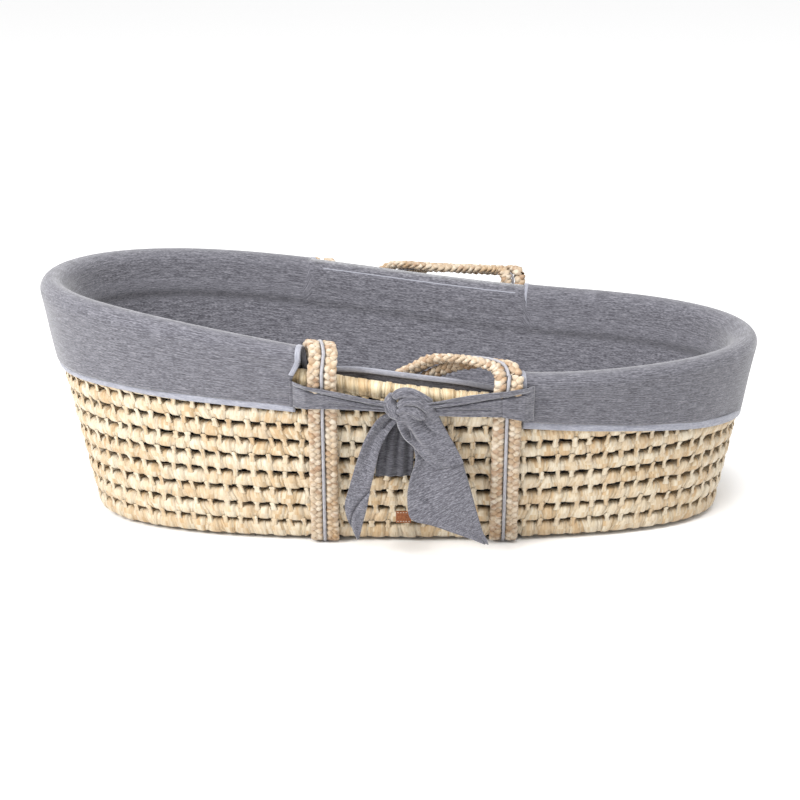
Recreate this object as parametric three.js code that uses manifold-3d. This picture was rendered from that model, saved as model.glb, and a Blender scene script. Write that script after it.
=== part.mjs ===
// Moses basket: an oval carry basket of wrapped coils with two rope handles, a tie-on
// fabric cover and a mattress.  Millimetres, +Z up.  -X is the raised head end, +X the foot
// end, -Y the front.  The origin is the centre of the flat underside.

import * as THREE from 'three';
import { ParametricGeometry } from 'three/addons/geometries/ParametricGeometry.js';
import { mergeVertices } from 'three/addons/utils/BufferGeometryUtils.js';
import Module from 'manifold-3d';

// ---- Driving dimensions -------------------------------------------------------------------

const GAP = 0.4; // clearance between pieces that touch
const LOOSE = 1.5; // slack between the cover and the coils

// The wall runs straight from the base outline up to the rim outline.
const RIM = { halfLength: 419.5, halfWidth: 242, roundness: 2.15, centreX: 0 };
const BASE = { halfLength: 365, halfWidth: 160, roundness: 2.6, centreX: 9 };
const FOOT_HEIGHT = 212; // top of the covered rim at the foot
const HEAD_RISE = 66; // how much higher the rim is at the head
const STEPS = 40; // facets around the basket

// Wrapped coils, stacked in level rows.
const ROW_COUNT = 8;
const ROW_PITCH = 20.8;
const ROW_START = 2; // height of the first row's underside
const ROW_THICKNESS = 18;
const SHORT_ROW_COUNT = 3; // wedge rows that raise the head end
const SHORT_ROW_TIP = 6; // height at which a wedge row ends
const RIM_RADIUS = 12;
const COVER = 2.5; // thickness of the cover over the rim
const BUMPER = 24; // how far the cover stands above the rim coil
const BASE_THICKNESS = 14;

// Straps: two braids side by side, outside the wall and under the base.
const STRAP_WIDTH = 32;
const STRAP_THICKNESS = 12;
const STRAP_PRESSED = 7; // thickness under the base

// Handles: the straps carry on as rope loops that fold over towards +Y.  Each loop is a flat
// path, along the fold line and up from it, which is then folded to a radius by an angle.
const FRONT_LOOP = {
  side: -1, leftX: -85, rightX: 117, leftDrop: 22, rightDrop: 20, foldRadius: 24, foldAngle: 160,
  path: [[101, 0], [101, 14], [94, 31], [66, 46], [32, 60], [0, 84], [-33, 106], [-74, 110],
    [-104, 90], [-109, 60], [-104, 32], [-101, 14], [-101, 0]],
};
const REAR_LOOP = {
  side: 1, leftX: -95, rightX: 144, leftDrop: 28, rightDrop: 9, foldRadius: 18, foldAngle: 172,
  path: [[119, 0], [119, 14], [106, 32], [70, 34], [20, 33], [-25, 46], [-60, 72], [-96, 78],
    [-122, 60], [-126, 34], [-121, 14], [-120, 0]],
};
const LEG_END = 0.7; // fold angle, radians, at which the strap ends and the loop is free
const LOOP_START = 1.7; // fold angle, radians, at which the loop's own solid starts

// Cover: an inner liner and two skirts that fold over the rim, with bound edges.
const NOTCH = { front: [-122, 136], rear: [-122, 164] }; // gaps in the skirts, around the straps
const BINDING_HEIGHT = 8.5;
const LINER_THICKNESS = 2.4;

// Bow, front and rear.
const KNOT = { x: 12, z: 184, radii: [26, 13.5, 20] };
const NOTCH_ROOM = { front: 23, rear: 4 }; // how far the liner's bound edge is below the rim
const TIE_HEIGHT = 32;
const TIE_END_HEIGHT = 17;
const TIE_THICKNESS = 2.4;
const TIE_INSET = 9; // from a notch's end at the rim to the tie's end
const PANEL_THICKNESS = 2.6;

// Mattress.
const MATTRESS = { halfLength: 336, halfWidth: 130, height: 30, roundness: 2.4, sheet: 2.4 };

// ---- Materials ----------------------------------------------------------------------------

const finish = (color, roughness) => new THREE.MeshStandardMaterial({ color, roughness, metalness: 0 });
const husk = finish(0xdcc79b, 0.75);
const rope = finish(0xe4d3b3, 0.8);
const jersey = finish(0x84848f, 0.95);
const tape = finish(0xb4b6c6, 0.85);
const sheeting = finish(0xf0efe9, 0.9);
const foam = finish(0xe6e2cf, 1.0);
const leather = finish(0x9a5a34, 0.6);

const basket = new THREE.Group();

function add(name, geometry, material) {
  const mesh = new THREE.Mesh(geometry, material);
  mesh.name = name;
  basket.add(mesh);
}

// ---- Solids from sections -----------------------------------------------------------------

function signedVolume(position, index) {
  const [a, b, c] = [new THREE.Vector3(), new THREE.Vector3(), new THREE.Vector3()];
  let volume = 0;
  for (let i = 0; i < index.length; i += 3) {
    a.fromBufferAttribute(position, index[i]);
    b.fromBufferAttribute(position, index[i + 1]);
    c.fromBufferAttribute(position, index[i + 2]);
    volume += a.dot(b.cross(c)) / 6;
  }
  return volume;
}

// Welds a geometry's seams, drops triangles that close to a line and turns its faces outwards.
function closedBody(geometry) {
  geometry.deleteAttribute('normal');
  geometry.deleteAttribute('uv');
  const welded = mergeVertices(geometry, 1e-3);
  const source = welded.index.array;
  let index = [];
  for (let i = 0; i < source.length; i += 3) {
    const [a, b, c] = [source[i], source[i + 1], source[i + 2]];
    if (a !== b && b !== c && c !== a) index.push(a, b, c);
  }
  if (signedVolume(welded.attributes.position, index) < 0) index = index.reverse();
  welded.setIndex(index);
  return welded;
}

// A solid through a list of sections, each a list of the same even number of points.  A ring
// joins its last section to its first.  Any other loft is capped: the second half of each end
// section is folded across to the first half.
function loft(sections, ring = false) {
  const cap = (points) => (
    points.map((point, i) => (i < points.length / 2 ? point : points[points.length - 1 - i])));
  const rows = ring
    ? [...sections, sections[0]]
    : [cap(sections[0]), ...sections, cap(sections[sections.length - 1])];
  const sides = sections[0].length;
  const stacks = rows.length - 1;
  const pick = (u, v, target) => {
    target.copy(rows[Math.round(v * stacks)][Math.round(u * sides) % sides]);
  };
  return closedBody(new ParametricGeometry(pick, sides, stacks));
}

// ---- Wall shape ---------------------------------------------------------------------------

const lerp = THREE.MathUtils.lerp;

// Top of the covered rim; along runs from -1 at the head to +1 at the foot.
function rimTop(along) {
  return FOOT_HEIGHT + HEAD_RISE * THREE.MathUtils.smoothstep(0.55 - along, 0, 1.6);
}

// Middle of the cover's round top edge, and of the rim coil under it.
const foldCentre = (along) => rimTop(along) - COVER - LOOSE - RIM_RADIUS;
const rimCentre = (along) => foldCentre(along) - BUMPER;

// Bottom edge of the cover's hem.
function hemHeight(along) {
  return 160 - 30 * along - 14 * along * along;
}

// Half-width of an outline at a place along it.
function halfWidthAt(outline, along) {
  const share = 1 - Math.abs(along) ** outline.roundness;
  return outline.halfWidth * Math.max(share, 0) ** (1 / outline.roundness);
}

// A point on the outer wall, before any inset.
function wallXY(angle, height) {
  const along = Math.cos(angle);
  const side = Math.sin(angle) < 0 ? -1 : 1;
  const rise = height / rimTop(along);
  const onBase = [BASE.centreX + BASE.halfLength * along, side * halfWidthAt(BASE, along)];
  const onRim = [RIM.centreX + RIM.halfLength * along, side * halfWidthAt(RIM, along)];
  return [lerp(onBase[0], onRim[0], rise), lerp(onBase[1], onRim[1], rise)];
}

// A point set in from the outer wall, square to it.
function wallPoint(angle, height, inset) {
  const step = 0.02;
  const [x, y] = wallXY(angle, height);
  const [beforeX, beforeY] = wallXY(angle - step, height);
  const [afterX, afterY] = wallXY(angle + step, height);
  const inward = new THREE.Vector3(beforeY - afterY, afterX - beforeX, 0).normalize();
  return new THREE.Vector3(x, y, height).addScaledVector(inward, inset);
}

// How far out the wall is at a place along the basket, measured from the middle line.
function wallDepth(x, height) {
  let along = x / RIM.halfLength;
  for (let i = 0; i < 8; i++) {
    const rise = height / rimTop(along);
    const centre = lerp(BASE.centreX, RIM.centreX, rise);
    along = (x - centre) / lerp(BASE.halfLength, RIM.halfLength, rise);
  }
  return Math.abs(wallXY(Math.acos(along), height)[1]);
}

// A section at an angle, from pairs of inset and height above a level.
const wallSection = (angle, level, pairs) => (
  pairs.map(([inset, up]) => wallPoint(angle, level + up, inset)));

const fullTurn = Array.from({ length: STEPS }, (_, i) => (2 * Math.PI * i) / STEPS);

// Even steps from one angle to another.
function arcAngles(from, to, count) {
  return Array.from({ length: count + 1 }, (_, i) => lerp(from, to, i / count));
}

// ---- Coiled shell -------------------------------------------------------------------------

// Six-sided coil section, flat where rows meet.
function coilSection(angle, low, high) {
  const middle = (low + high) / 2;
  const flat = ROW_THICKNESS * 0.22;
  return wallSection(angle, 0, [[0, middle], [flat, high], [ROW_THICKNESS - flat, high],
    [ROW_THICKNESS, middle], [ROW_THICKNESS - flat, low], [flat, low]]);
}

const rowLow = (row) => ROW_START + ROW_PITCH * row;

// Top of a row, under the next row or under the rim coil.
function rowTop(row, angle) {
  const rimBottom = rimCentre(Math.cos(angle)) - RIM_RADIUS - GAP;
  return Math.min(rowLow(row) + ROW_PITCH - GAP, rimBottom);
}

const rowSection = (row, angle) => coilSection(angle, rowLow(row), rowTop(row, angle));

const fullRow = (row) => loft(fullTurn.map((angle) => rowSection(row, angle)), true);

// A wedge row fills the space under the raised rim, and thins out towards its ends.
function shortRow(row) {
  let reach = 0;
  while (rowTop(row, Math.PI - reach) - rowLow(row) > SHORT_ROW_TIP) reach += 0.01;
  const angles = arcAngles(Math.PI - reach, Math.PI + reach, Math.round(reach * 13));
  return loft(angles.map((angle) => rowSection(row, angle)));
}

// The rim coil is round and follows the rim's curve.
function rimCoil() {
  const sides = 8;
  return loft(fullTurn.map((angle) => {
    return wallSection(angle, rimCentre(Math.cos(angle)), Array.from({ length: sides }, (_, i) => {
      const turn = (2 * Math.PI * i) / sides;
      return [RIM_RADIUS - RIM_RADIUS * Math.cos(turn), RIM_RADIUS * Math.sin(turn)];
    }));
  }), true);
}

// A level plate inside the wall.
function plate(inset, low, high, outlineHeight) {
  const corners = fullTurn.map((angle) => wallPoint(angle, outlineHeight, inset));
  const shape = new THREE.Shape(corners.map((corner) => new THREE.Vector2(corner.x, corner.y)));
  const geometry = new THREE.ExtrudeGeometry(shape, { depth: high - low, bevelEnabled: false });
  return closedBody(geometry.translate(0, 0, low));
}

// ---- Straps and handles -------------------------------------------------------------------

// The fold line runs between the tops of the two legs; the rope is folded about it.
function loopFrame(loop) {
  const legTop = (x, drop) => {
    const height = rimTop(x / RIM.halfLength) - drop;
    const depth = strapDepth(x, Math.min(height, rimTop(x / RIM.halfLength) - RIM_RADIUS));
    return new THREE.Vector3(x, loop.side * depth, height);
  };
  const left = legTop(loop.leftX, loop.leftDrop);
  const right = legTop(loop.rightX, loop.rightDrop);
  const along = right.clone().sub(left).normalize();
  const up = new THREE.Vector3().crossVectors(along, new THREE.Vector3(0, 1, 0)).normalize();
  const over = new THREE.Vector3().crossVectors(up, along);
  return { left, right, along, over, up, middle: left.clone().lerp(right, 0.5) };
}

// Puts a point of the flat loop on the folded one; lift is its height off the loop's plane.
function fold(loop, frame, along, rise, lift) {
  const radius = loop.foldRadius;
  const angle = THREE.MathUtils.degToRad(loop.foldAngle);
  const turn = THREE.MathUtils.clamp(rise / radius, 0, angle);
  const straight = rise - radius * turn;
  const over = radius - (radius + lift) * Math.cos(turn) + straight * Math.sin(turn);
  const up = (radius + lift) * Math.sin(turn) + straight * Math.cos(turn);
  return frame.middle.clone()
    .addScaledVector(frame.along, along)
    .addScaledVector(frame.over, over)
    .addScaledVector(frame.up, up);
}

// How far out the middle of a strap lies on the wall.
function strapDepth(x, height) {
  const edges = [-0.5, 0, 0.5].map((edge) => wallDepth(x + edge * STRAP_WIDTH, height));
  return Math.max(...edges) + GAP + STRAP_THICKNESS / 2;
}

// Eight-sided strap section, as pairs across the width and through the thickness.
function strapOutline(width, thickness) {
  const [w, t] = [width / 2, thickness / 2];
  const corner = t * 0.6;
  return [[w, -t + corner], [w, t - corner], [w - corner, t], [corner - w, t],
    [-w, t - corner], [-w, corner - t], [corner - w, -t], [w - corner, -t]];
}

// The short stretch of strap that starts to fold over at the top of a leg.
function foldedLegSections(loop, frame, leg, grow) {
  const alongLeg = leg === 'left' ? frame.left : frame.right;
  const place = alongLeg.clone().sub(frame.middle).dot(frame.along);
  const rises = [0, LEG_END / 2, LEG_END].map((turn) => turn * loop.foldRadius);
  return rises.map((rise) => (
    strapOutline(STRAP_WIDTH + grow, STRAP_THICKNESS + grow)
      .map(([across, through]) => fold(loop, frame, place + across, rise, through))));
}

// One side of a strap, from the middle of the base's edge up to the top of its leg.
function strapSideSections(loop, frame, leg, grow) {
  const top = leg === 'left' ? frame.left : frame.right;
  const section = (y, z, normalY, normalZ, thickness) => (
    strapOutline(STRAP_WIDTH + grow, thickness + grow).map(([across, through]) => (
      new THREE.Vector3(top.x + across, y + normalY * through, z + normalZ * through))));
  const cornerHeight = 14;
  const cornerDepth = wallDepth(top.x, cornerHeight) - 2;
  const innerRadius = 2 + GAP;
  const corner = [90, 60, 30, 0].map((degrees) => {
    const turn = THREE.MathUtils.degToRad(degrees);
    const inner = lerp(innerRadius, cornerHeight - STRAP_PRESSED, degrees / 90);
    const outer = lerp(innerRadius + STRAP_THICKNESS, cornerHeight, degrees / 90);
    const reach = (inner + outer) / 2;
    return section(loop.side * (cornerDepth + reach * Math.cos(turn)),
      cornerHeight - reach * Math.sin(turn), loop.side * Math.cos(turn), -Math.sin(turn),
      outer - inner);
  });
  const wall = [0.25, 0.5, 0.75, 0.92].map((share) => {
    const height = lerp(cornerHeight, top.z, share);
    return section(loop.side * strapDepth(top.x, height), height, loop.side, 0, STRAP_THICKNESS);
  });
  return [...corner, ...wall, ...foldedLegSections(loop, frame, leg, grow)];
}

const frontFrame = loopFrame(FRONT_LOOP);
const rearFrame = loopFrame(REAR_LOOP);

// A whole strap: down the front, under the base and up the rear.
function strap(leg, grow = 0) {
  const front = strapSideSections(FRONT_LOOP, frontFrame, leg, grow);
  const rear = strapSideSections(REAR_LOOP, rearFrame, leg, grow);
  return loft([...front.reverse(), ...rear]);
}

// The free rope loop, from fold to fold.
function handle(loop, frame) {
  const path = new THREE.CatmullRomCurve3(loop.path.map(([a, b]) => new THREE.Vector3(a, b, 0)));
  const start = LOOP_START * loop.foldRadius;
  const stations = 44;
  const sections = [];
  for (let i = 0; i <= stations; i++) {
    const point = path.getPointAt(i / stations);
    const tangent = path.getTangentAt(i / stations);
    if (point.y < start) continue;
    sections.push(strapOutline(STRAP_WIDTH, STRAP_THICKNESS).map(([across, through]) => (
      fold(loop, frame, point.x + tangent.y * across, point.y - tangent.x * across, through))));
  }
  return loft(sections);
}

// ---- Cutting ------------------------------------------------------------------------------

const wasm = await Module();
wasm.setup();

function toManifold(geometry) {
  const mesh = new wasm.Mesh({
    numProp: 3,
    vertProperties: new Float32Array(geometry.attributes.position.array),
    triVerts: new Uint32Array(geometry.index.array),
  });
  return new wasm.Manifold(mesh);
}

function cut(geometry, cutters) {
  const solid = cutters.reduce((left, cutter) => left.subtract(toManifold(cutter)),
    toManifold(geometry));
  const mesh = solid.getMesh();
  const result = new THREE.BufferGeometry();
  result.setAttribute('position', new THREE.BufferAttribute(mesh.vertProperties, 3));
  result.setIndex(new THREE.BufferAttribute(mesh.triVerts, 1));
  return result;
}

// ---- Cover --------------------------------------------------------------------------------

// Angle on the rim at a place along the basket; side is -1 for the front, +1 for the rear.
const rimAngle = (x, side) => side * Math.acos(x / RIM.halfLength);

// Skirt section: over the rim from the liner to the outside, then down to the hem.
function skirtSection(angle) {
  const along = Math.cos(angle);
  const centre = foldCentre(along);
  const bottom = hemHeight(along) + BINDING_HEIGHT + GAP;
  const inside = rimCentre(along);
  const arc = (radius) => [0, 45, 90, 135, 180].map((degrees) => {
    const turn = THREE.MathUtils.degToRad(degrees);
    return [RIM_RADIUS + radius * Math.cos(turn), centre + radius * Math.sin(turn)];
  });
  const legs = (inset, points) => [[inset, inside], ...points, [2 * RIM_RADIUS - inset, bottom]];
  const outer = legs(2 * RIM_RADIUS + LOOSE + COVER, arc(RIM_RADIUS + LOOSE + COVER));
  const inner = legs(2 * RIM_RADIUS + LOOSE, arc(RIM_RADIUS + LOOSE)).reverse();
  return wallSection(angle, 0, [...outer, ...inner]);
}

function hemSection(angle) {
  const low = hemHeight(Math.cos(angle));
  const high = low + BINDING_HEIGHT;
  return wallSection(angle, 0, [[-LOOSE, low], [-LOOSE, high], [-LOOSE - COVER, high],
    [-LOOSE - COVER, low]]);
}

// The liner stands inside the coils and leans in to clear the rim coil.
function linerSection(angle) {
  const top = rimCentre(Math.cos(angle)) - GAP;
  const lowInset = ROW_THICKNESS + 2 * LOOSE;
  const highInset = 2 * RIM_RADIUS + LOOSE;
  const floor = BASE_THICKNESS + LINER_THICKNESS + 2 * GAP;
  return wallSection(angle, 0, [[lowInset, floor], [lowInset, top - 18], [highInset, top - 5],
    [highInset, top], [highInset + LINER_THICKNESS, top], [highInset + LINER_THICKNESS, top - 6],
    [lowInset + LINER_THICKNESS, top - 19], [lowInset + LINER_THICKNESS, floor]]);
}

// The liner's bound edge, which shows behind the bare rim coil; room is left above it for the
// handle's fold.
function notchBindingSection(angle, room) {
  const low = rimCentre(Math.cos(angle));
  const near = 2 * RIM_RADIUS + LOOSE;
  const high = rimTop(Math.cos(angle)) - room;
  return wallSection(angle, 0, [[near, low], [near, high], [near + LINER_THICKNESS, high],
    [near + LINER_THICKNESS, low]]);
}

// Angles of each skirt, through the head or the foot, and of each notch.
const margin = 0.002;
const HEAD_ARC = [rimAngle(NOTCH.rear[0], 1), 2 * Math.PI + rimAngle(NOTCH.front[0], -1)];
const FOOT_ARC = [rimAngle(NOTCH.front[1], -1), rimAngle(NOTCH.rear[1], 1)];
const notchArc = (notch, side) => [rimAngle(notch[0], side) + side * -margin,
  rimAngle(notch[1], side) + side * margin];

// ---- Bow ----------------------------------------------------------------------------------

// A tie: a band from the skirt's edge over the strap to the knot.
function tie(side, fromX, strapX, toX) {
  const outward = Math.sign(fromX - toX);
  const edge = STRAP_WIDTH / 2 + 2;
  const besideStrap = outward * (fromX - strapX) > edge;
  const onWall = (x, off) => (z) => wallDepth(x, z) + off;
  const onStrap = (z) => strapDepth(strapX, z) + STRAP_THICKNESS / 2 + 2 * GAP;
  const stations = [
    ...(besideStrap ? [[fromX, onWall(fromX, LOOSE), TIE_HEIGHT]] : []),
    [strapX + outward * edge, onStrap, TIE_HEIGHT - 1],
    [strapX - outward * edge, onStrap, TIE_HEIGHT - 4],
    [toX, onWall(toX, STRAP_THICKNESS + 3), TIE_END_HEIGHT],
  ];
  return loft(stations.map(([x, depthAt, height]) => {
    const middle = lerp(KNOT.z, KNOT.z + 5, Math.abs(x - KNOT.x) / 130);
    const [low, high] = [middle - height / 2, middle + height / 2];
    const corner = (z, extra) => new THREE.Vector3(x, side * (depthAt(z) + extra), z);
    return [corner(low, 0), corner(high, 0), corner(high, TIE_THICKNESS),
      corner(low, TIE_THICKNESS)];
  }));
}

// A hanging panel of the bow: an upright outline, some way out from the wall.
function panel(side, off, outline) {
  const shape = new THREE.Shape(outline.map(([x, z]) => new THREE.Vector2(x, z)));
  const geometry = new THREE.ExtrudeGeometry(shape, { depth: PANEL_THICKNESS, bevelEnabled: false });
  const depth = wallDepth(KNOT.x, KNOT.z - KNOT.radii[2]) + off;
  geometry.rotateX(Math.PI / 2);
  return closedBody(geometry.translate(0, side * depth + (side < 0 ? 0 : PANEL_THICKNESS), 0));
}

function knot(side) {
  const geometry = new THREE.SphereGeometry(1, 14, 8).scale(...KNOT.radii);
  const depth = wallDepth(KNOT.x, KNOT.z) + KNOT.radii[1] + 3;
  return closedBody(geometry.translate(KNOT.x, side * depth, KNOT.z));
}

function addBow(label, side, notch, loop) {
  const knotEdge = KNOT.radii[0] + 0.5;
  add(`tie_${label}_left`, tie(side, notch[0] + TIE_INSET, loop.leftX, KNOT.x - knotEdge), jersey);
  add(`tie_${label}_right`, tie(side, notch[1] - TIE_INSET, loop.rightX, KNOT.x + knotEdge), jersey);
  add(`bow_${label}_knot`, knot(side), jersey);
  add(`bow_${label}_back_loop`, panel(side, 3, [[-24, 158], [14, 160], [14, 98], [-26, 96]]), jersey);
  add(`bow_${label}_left_tail`, panel(side, 7, [[-6, 160], [-24, 160], [-49, 108], [-60, 62],
    [-46, 25], [-34, 64], [-27, 104], [-11, 150]]), jersey);
  add(`bow_${label}_right_tail`, panel(side, 11, [[12, 160], [38, 160], [69, 113], [97, 19],
    [76, 22], [12, 46], [8, 70], [16, 119]]), jersey);
  add(`bow_${label}_front_loop`, panel(side, 15, [[2, 160], [38, 160], [56, 140], [69, 114],
    [42, 104], [14, 127], [0, 142]]), jersey);
}

// ---- Mattress and small parts -------------------------------------------------------------

// An oval block with upright sides, shrunk by an inset.
function ovalBlock(inset, low, high) {
  const oval = { ...MATTRESS, halfWidth: MATTRESS.halfWidth - inset };
  const corners = fullTurn.map((angle) => {
    const side = Math.sin(angle) < 0 ? -1 : 1;
    const x = BASE.centreX + (MATTRESS.halfLength - inset) * Math.cos(angle);
    return new THREE.Vector2(x, side * halfWidthAt(oval, Math.cos(angle)));
  });
  const depth = high - low;
  const geometry = new THREE.ExtrudeGeometry(new THREE.Shape(corners), { depth, bevelEnabled: false });
  return closedBody(geometry.translate(0, 0, low));
}

function labelTab() {
  const [width, height, thickness] = [17, 14, 1.6];
  const [x, z] = [4, rowLow(1) + ROW_PITCH / 2];
  const depth = wallDepth(x, z) + GAP + thickness / 2;
  return closedBody(new THREE.BoxGeometry(width, thickness, height).translate(x, -depth, z));
}

// ---- Assembly -----------------------------------------------------------------------------

const strapRoom = ['left', 'right'].map((leg) => strap(leg, 2 * GAP));
const baseMat = plate(ROW_THICKNESS + GAP, 0, BASE_THICKNESS, ROW_START + ROW_PITCH / 2);
add('base_mat', cut(baseMat, strapRoom), husk);
for (let row = 0; row < ROW_COUNT; row++) {
  const name = `coil_row_${String(row + 1).padStart(2, '0')}`;
  add(name, row === 0 ? cut(fullRow(row), strapRoom) : fullRow(row), husk);
}
for (let i = 0; i < SHORT_ROW_COUNT; i++) {
  add(`head_short_row_${i + 1}`, shortRow(ROW_COUNT + i), husk);
}
add('rim_coil', rimCoil(), husk);

add('strap_left', strap('left'), rope);
add('strap_right', strap('right'), rope);
add('front_handle', handle(FRONT_LOOP, frontFrame), rope);
add('rear_handle', handle(REAR_LOOP, rearFrame), rope);

const linerFloor = BASE_THICKNESS + GAP;
add('liner_floor', plate(ROW_THICKNESS + 3, linerFloor, linerFloor + LINER_THICKNESS, linerFloor), jersey);
add('liner_wall', loft(fullTurn.map(linerSection), true), jersey);
const skirts = { head: HEAD_ARC, foot: FOOT_ARC };
for (const [end, [from, to]] of Object.entries(skirts)) {
  const angles = arcAngles(from, to, 18);
  add(`skirt_${end}`, loft(angles.map(skirtSection)), jersey);
  add(`hem_binding_${end}`, loft(angles.map(hemSection)), tape);
}
for (const [label, side] of [['front', -1], ['rear', 1]]) {
  const angles = arcAngles(...notchArc(NOTCH[label], side), 6);
  const sections = angles.map((angle) => notchBindingSection(angle, NOTCH_ROOM[label]));
  add(`notch_binding_${label}`, loft(sections), tape);
}

addBow('front', -1, NOTCH.front, FRONT_LOOP);
addBow('rear', 1, NOTCH.rear, REAR_LOOP);

const mattressLow = linerFloor + LINER_THICKNESS + GAP;
const sheetTop = mattressLow + MATTRESS.height;
const sheetRoom = ovalBlock(MATTRESS.sheet, mattressLow - 5, sheetTop - MATTRESS.sheet);
add('mattress_sheet', cut(ovalBlock(0, mattressLow, sheetTop), [sheetRoom]), sheeting);
const coreTop = sheetTop - MATTRESS.sheet - GAP;
add('mattress_core', ovalBlock(MATTRESS.sheet + GAP, mattressLow, coreTop), foam);
add('label_tab', labelTab(), leather);

export default basket;
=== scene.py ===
# %% [markdown]
# # A moses basket in Blender
# The basket is an oval tub of husk coils with a raised head end.  Two braided straps run under it
# and carry on into rope handles, and a grey jersey cover folds over the rim and is tied with bows.
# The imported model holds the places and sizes.  This script repeats its few driving dimensions and
# makes the surfaces a buyer would see: wraps, braids, cloth and padding.

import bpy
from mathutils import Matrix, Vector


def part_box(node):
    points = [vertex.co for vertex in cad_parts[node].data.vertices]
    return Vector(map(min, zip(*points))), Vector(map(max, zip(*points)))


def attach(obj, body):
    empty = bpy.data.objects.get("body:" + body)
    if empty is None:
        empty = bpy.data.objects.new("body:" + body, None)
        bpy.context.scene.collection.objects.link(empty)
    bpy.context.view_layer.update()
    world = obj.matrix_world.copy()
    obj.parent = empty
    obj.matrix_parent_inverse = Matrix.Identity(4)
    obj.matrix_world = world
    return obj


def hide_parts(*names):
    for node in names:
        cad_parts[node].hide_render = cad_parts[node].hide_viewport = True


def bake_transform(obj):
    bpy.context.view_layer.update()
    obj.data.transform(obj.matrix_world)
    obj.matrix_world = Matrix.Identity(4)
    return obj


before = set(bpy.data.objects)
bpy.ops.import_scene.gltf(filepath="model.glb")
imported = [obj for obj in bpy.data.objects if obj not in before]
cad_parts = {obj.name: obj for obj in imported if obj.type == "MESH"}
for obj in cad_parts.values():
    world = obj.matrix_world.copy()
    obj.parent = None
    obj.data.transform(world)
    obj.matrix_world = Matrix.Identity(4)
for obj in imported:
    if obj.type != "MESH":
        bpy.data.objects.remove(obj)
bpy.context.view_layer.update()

# %% Other modules and units
import math
import random

import bmesh
import bpy
import numpy as np
from mathutils import Vector

MM = 0.001

# %% [markdown]
# ## The shape of the wall
# A maker starts from an oval base and leans the wall out to a wider, rounder rim that rises at the
# head.  Each piece below is placed by an angle round the oval, a height and an inset from the
# outside of the wall, so the wall is written down once, with the same numbers as the solid model.

# %% Wall dimensions
RIM = {"half_length": 0.4195, "half_width": 0.242, "roundness": 2.15, "centre_x": 0.0}
BASE = {"half_length": 0.365, "half_width": 0.160, "roundness": 2.6, "centre_x": 0.009}
FOOT_HEIGHT = 0.212
HEAD_RISE = 0.066
COVER = 0.0025
LOOSE = 0.0015
RIM_RADIUS = 0.012
BUMPER = 0.024
ROW_COUNT = 8
ROW_PITCH = 0.0208
ROW_START = 0.002
ROW_DEPTH = 0.018
HEAD = math.pi
LEGS = {"front": (-0.085, 0.117), "rear": (-0.095, 0.144)}
STRAP_WIDTH = 0.032
STRAP_THICKNESS = 0.012
STRAP_PRESSED = 0.007
STRAP_CORNER = 0.014
LINER_THICKNESS = 0.0009
SKIRT_THICKNESS = 0.0010
PANEL_THICKNESS = 0.0012
TIE_THICKNESS = 0.0014


def lerp(a, b, share):
    return a + (b - a) * share


def smooth(x):
    x = np.clip(x, 0.0, 1.0)
    return x * x * (3 - 2 * x)


def hill(x, middle, width):
    """A smooth bump that is 1 at the middle and dies away to each side."""
    return np.exp(-((x - middle) / width) ** 2)


def rim_top(along):
    """Top of the covered rim; along runs from -1 at the head to +1 at the foot."""
    return FOOT_HEIGHT + HEAD_RISE * smooth((0.55 - along) / 1.6)


def fold_centre(along):
    """Middle of the cover's round top edge, which stands above the rim coil."""
    return rim_top(along) - COVER - LOOSE - RIM_RADIUS


def rim_centre(along):
    return fold_centre(along) - BUMPER


def rim_bottom(along):
    return rim_centre(along) - RIM_RADIUS - 0.0004


def hem_height(along):
    return 0.160 - 0.030 * along - 0.014 * along * along


def half_width(outline, along):
    power = outline["roundness"]
    return outline["half_width"] * np.clip(1 - np.abs(along) ** power, 0, 1) ** (1 / power)


def wall_xy(angle, height):
    along = np.cos(angle)
    side = np.where(np.sin(angle) < 0, -1.0, 1.0)
    rise = height / rim_top(along)
    base_x = BASE["centre_x"] + BASE["half_length"] * along
    x = lerp(base_x, RIM["half_length"] * along, rise)
    y = side * lerp(half_width(BASE, along), half_width(RIM, along), rise)
    return x, y


def wall_point(angle, height, inset):
    """A point set in from the outside of the wall, square to it."""
    angle, height, inset = np.broadcast_arrays(angle, height, inset)
    x, y = wall_xy(angle, height)
    before_x, before_y = wall_xy(angle - 0.02, height)
    after_x, after_y = wall_xy(angle + 0.02, height)
    in_x, in_y = before_y - after_y, after_x - before_x
    size = np.hypot(in_x, in_y)
    return np.stack([x + inset * in_x / size, y + inset * in_y / size, height], axis=-1)


def wall_depth(x, height):
    """How far out the wall is from the middle line, at a place along the basket."""
    along = np.asarray(x, float) / RIM["half_length"]
    for _ in range(8):
        rise = height / rim_top(along)
        centre = lerp(BASE["centre_x"], 0.0, rise)
        along = (x - centre) / lerp(BASE["half_length"], RIM["half_length"], rise)
        along = np.clip(along, -0.999, 0.999)
    return np.abs(wall_xy(np.arccos(along), height)[1])


print("rim height: head", round(float(rim_top(-1.0)), 3), "foot", round(float(rim_top(1.0)), 3))

# %% [markdown]
# ## Walking round the oval
# Wraps and stitches are evenly spaced by hand along the coil, and not by angle, which would crowd
# them at the two ends.  So one function gives the angle at a distance along an outline.

# %% Distance round the wall
def distances(points):
    """How far each point is along the line from the first one."""
    return np.concatenate([[0.0], np.cumsum(np.linalg.norm(np.diff(points, axis=0), axis=1))])


def between(distance, travelled, rows):
    """The rows, one to a travelled distance, read off at other distances."""
    return np.stack([np.interp(distance, travelled, column) for column in rows.T], axis=-1)


def unit(rows):
    return rows / np.linalg.norm(rows, axis=-1, keepdims=True)


def walk(height_of, start, end):
    """Length of the wall line from one angle to another, and the angle at a distance along it."""
    angles = np.linspace(start, end, 900)
    travelled = distances(wall_point(angles, height_of(np.cos(angles)), 0.0))
    return travelled[-1], lambda distance: np.interp(distance, travelled, angles)


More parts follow.
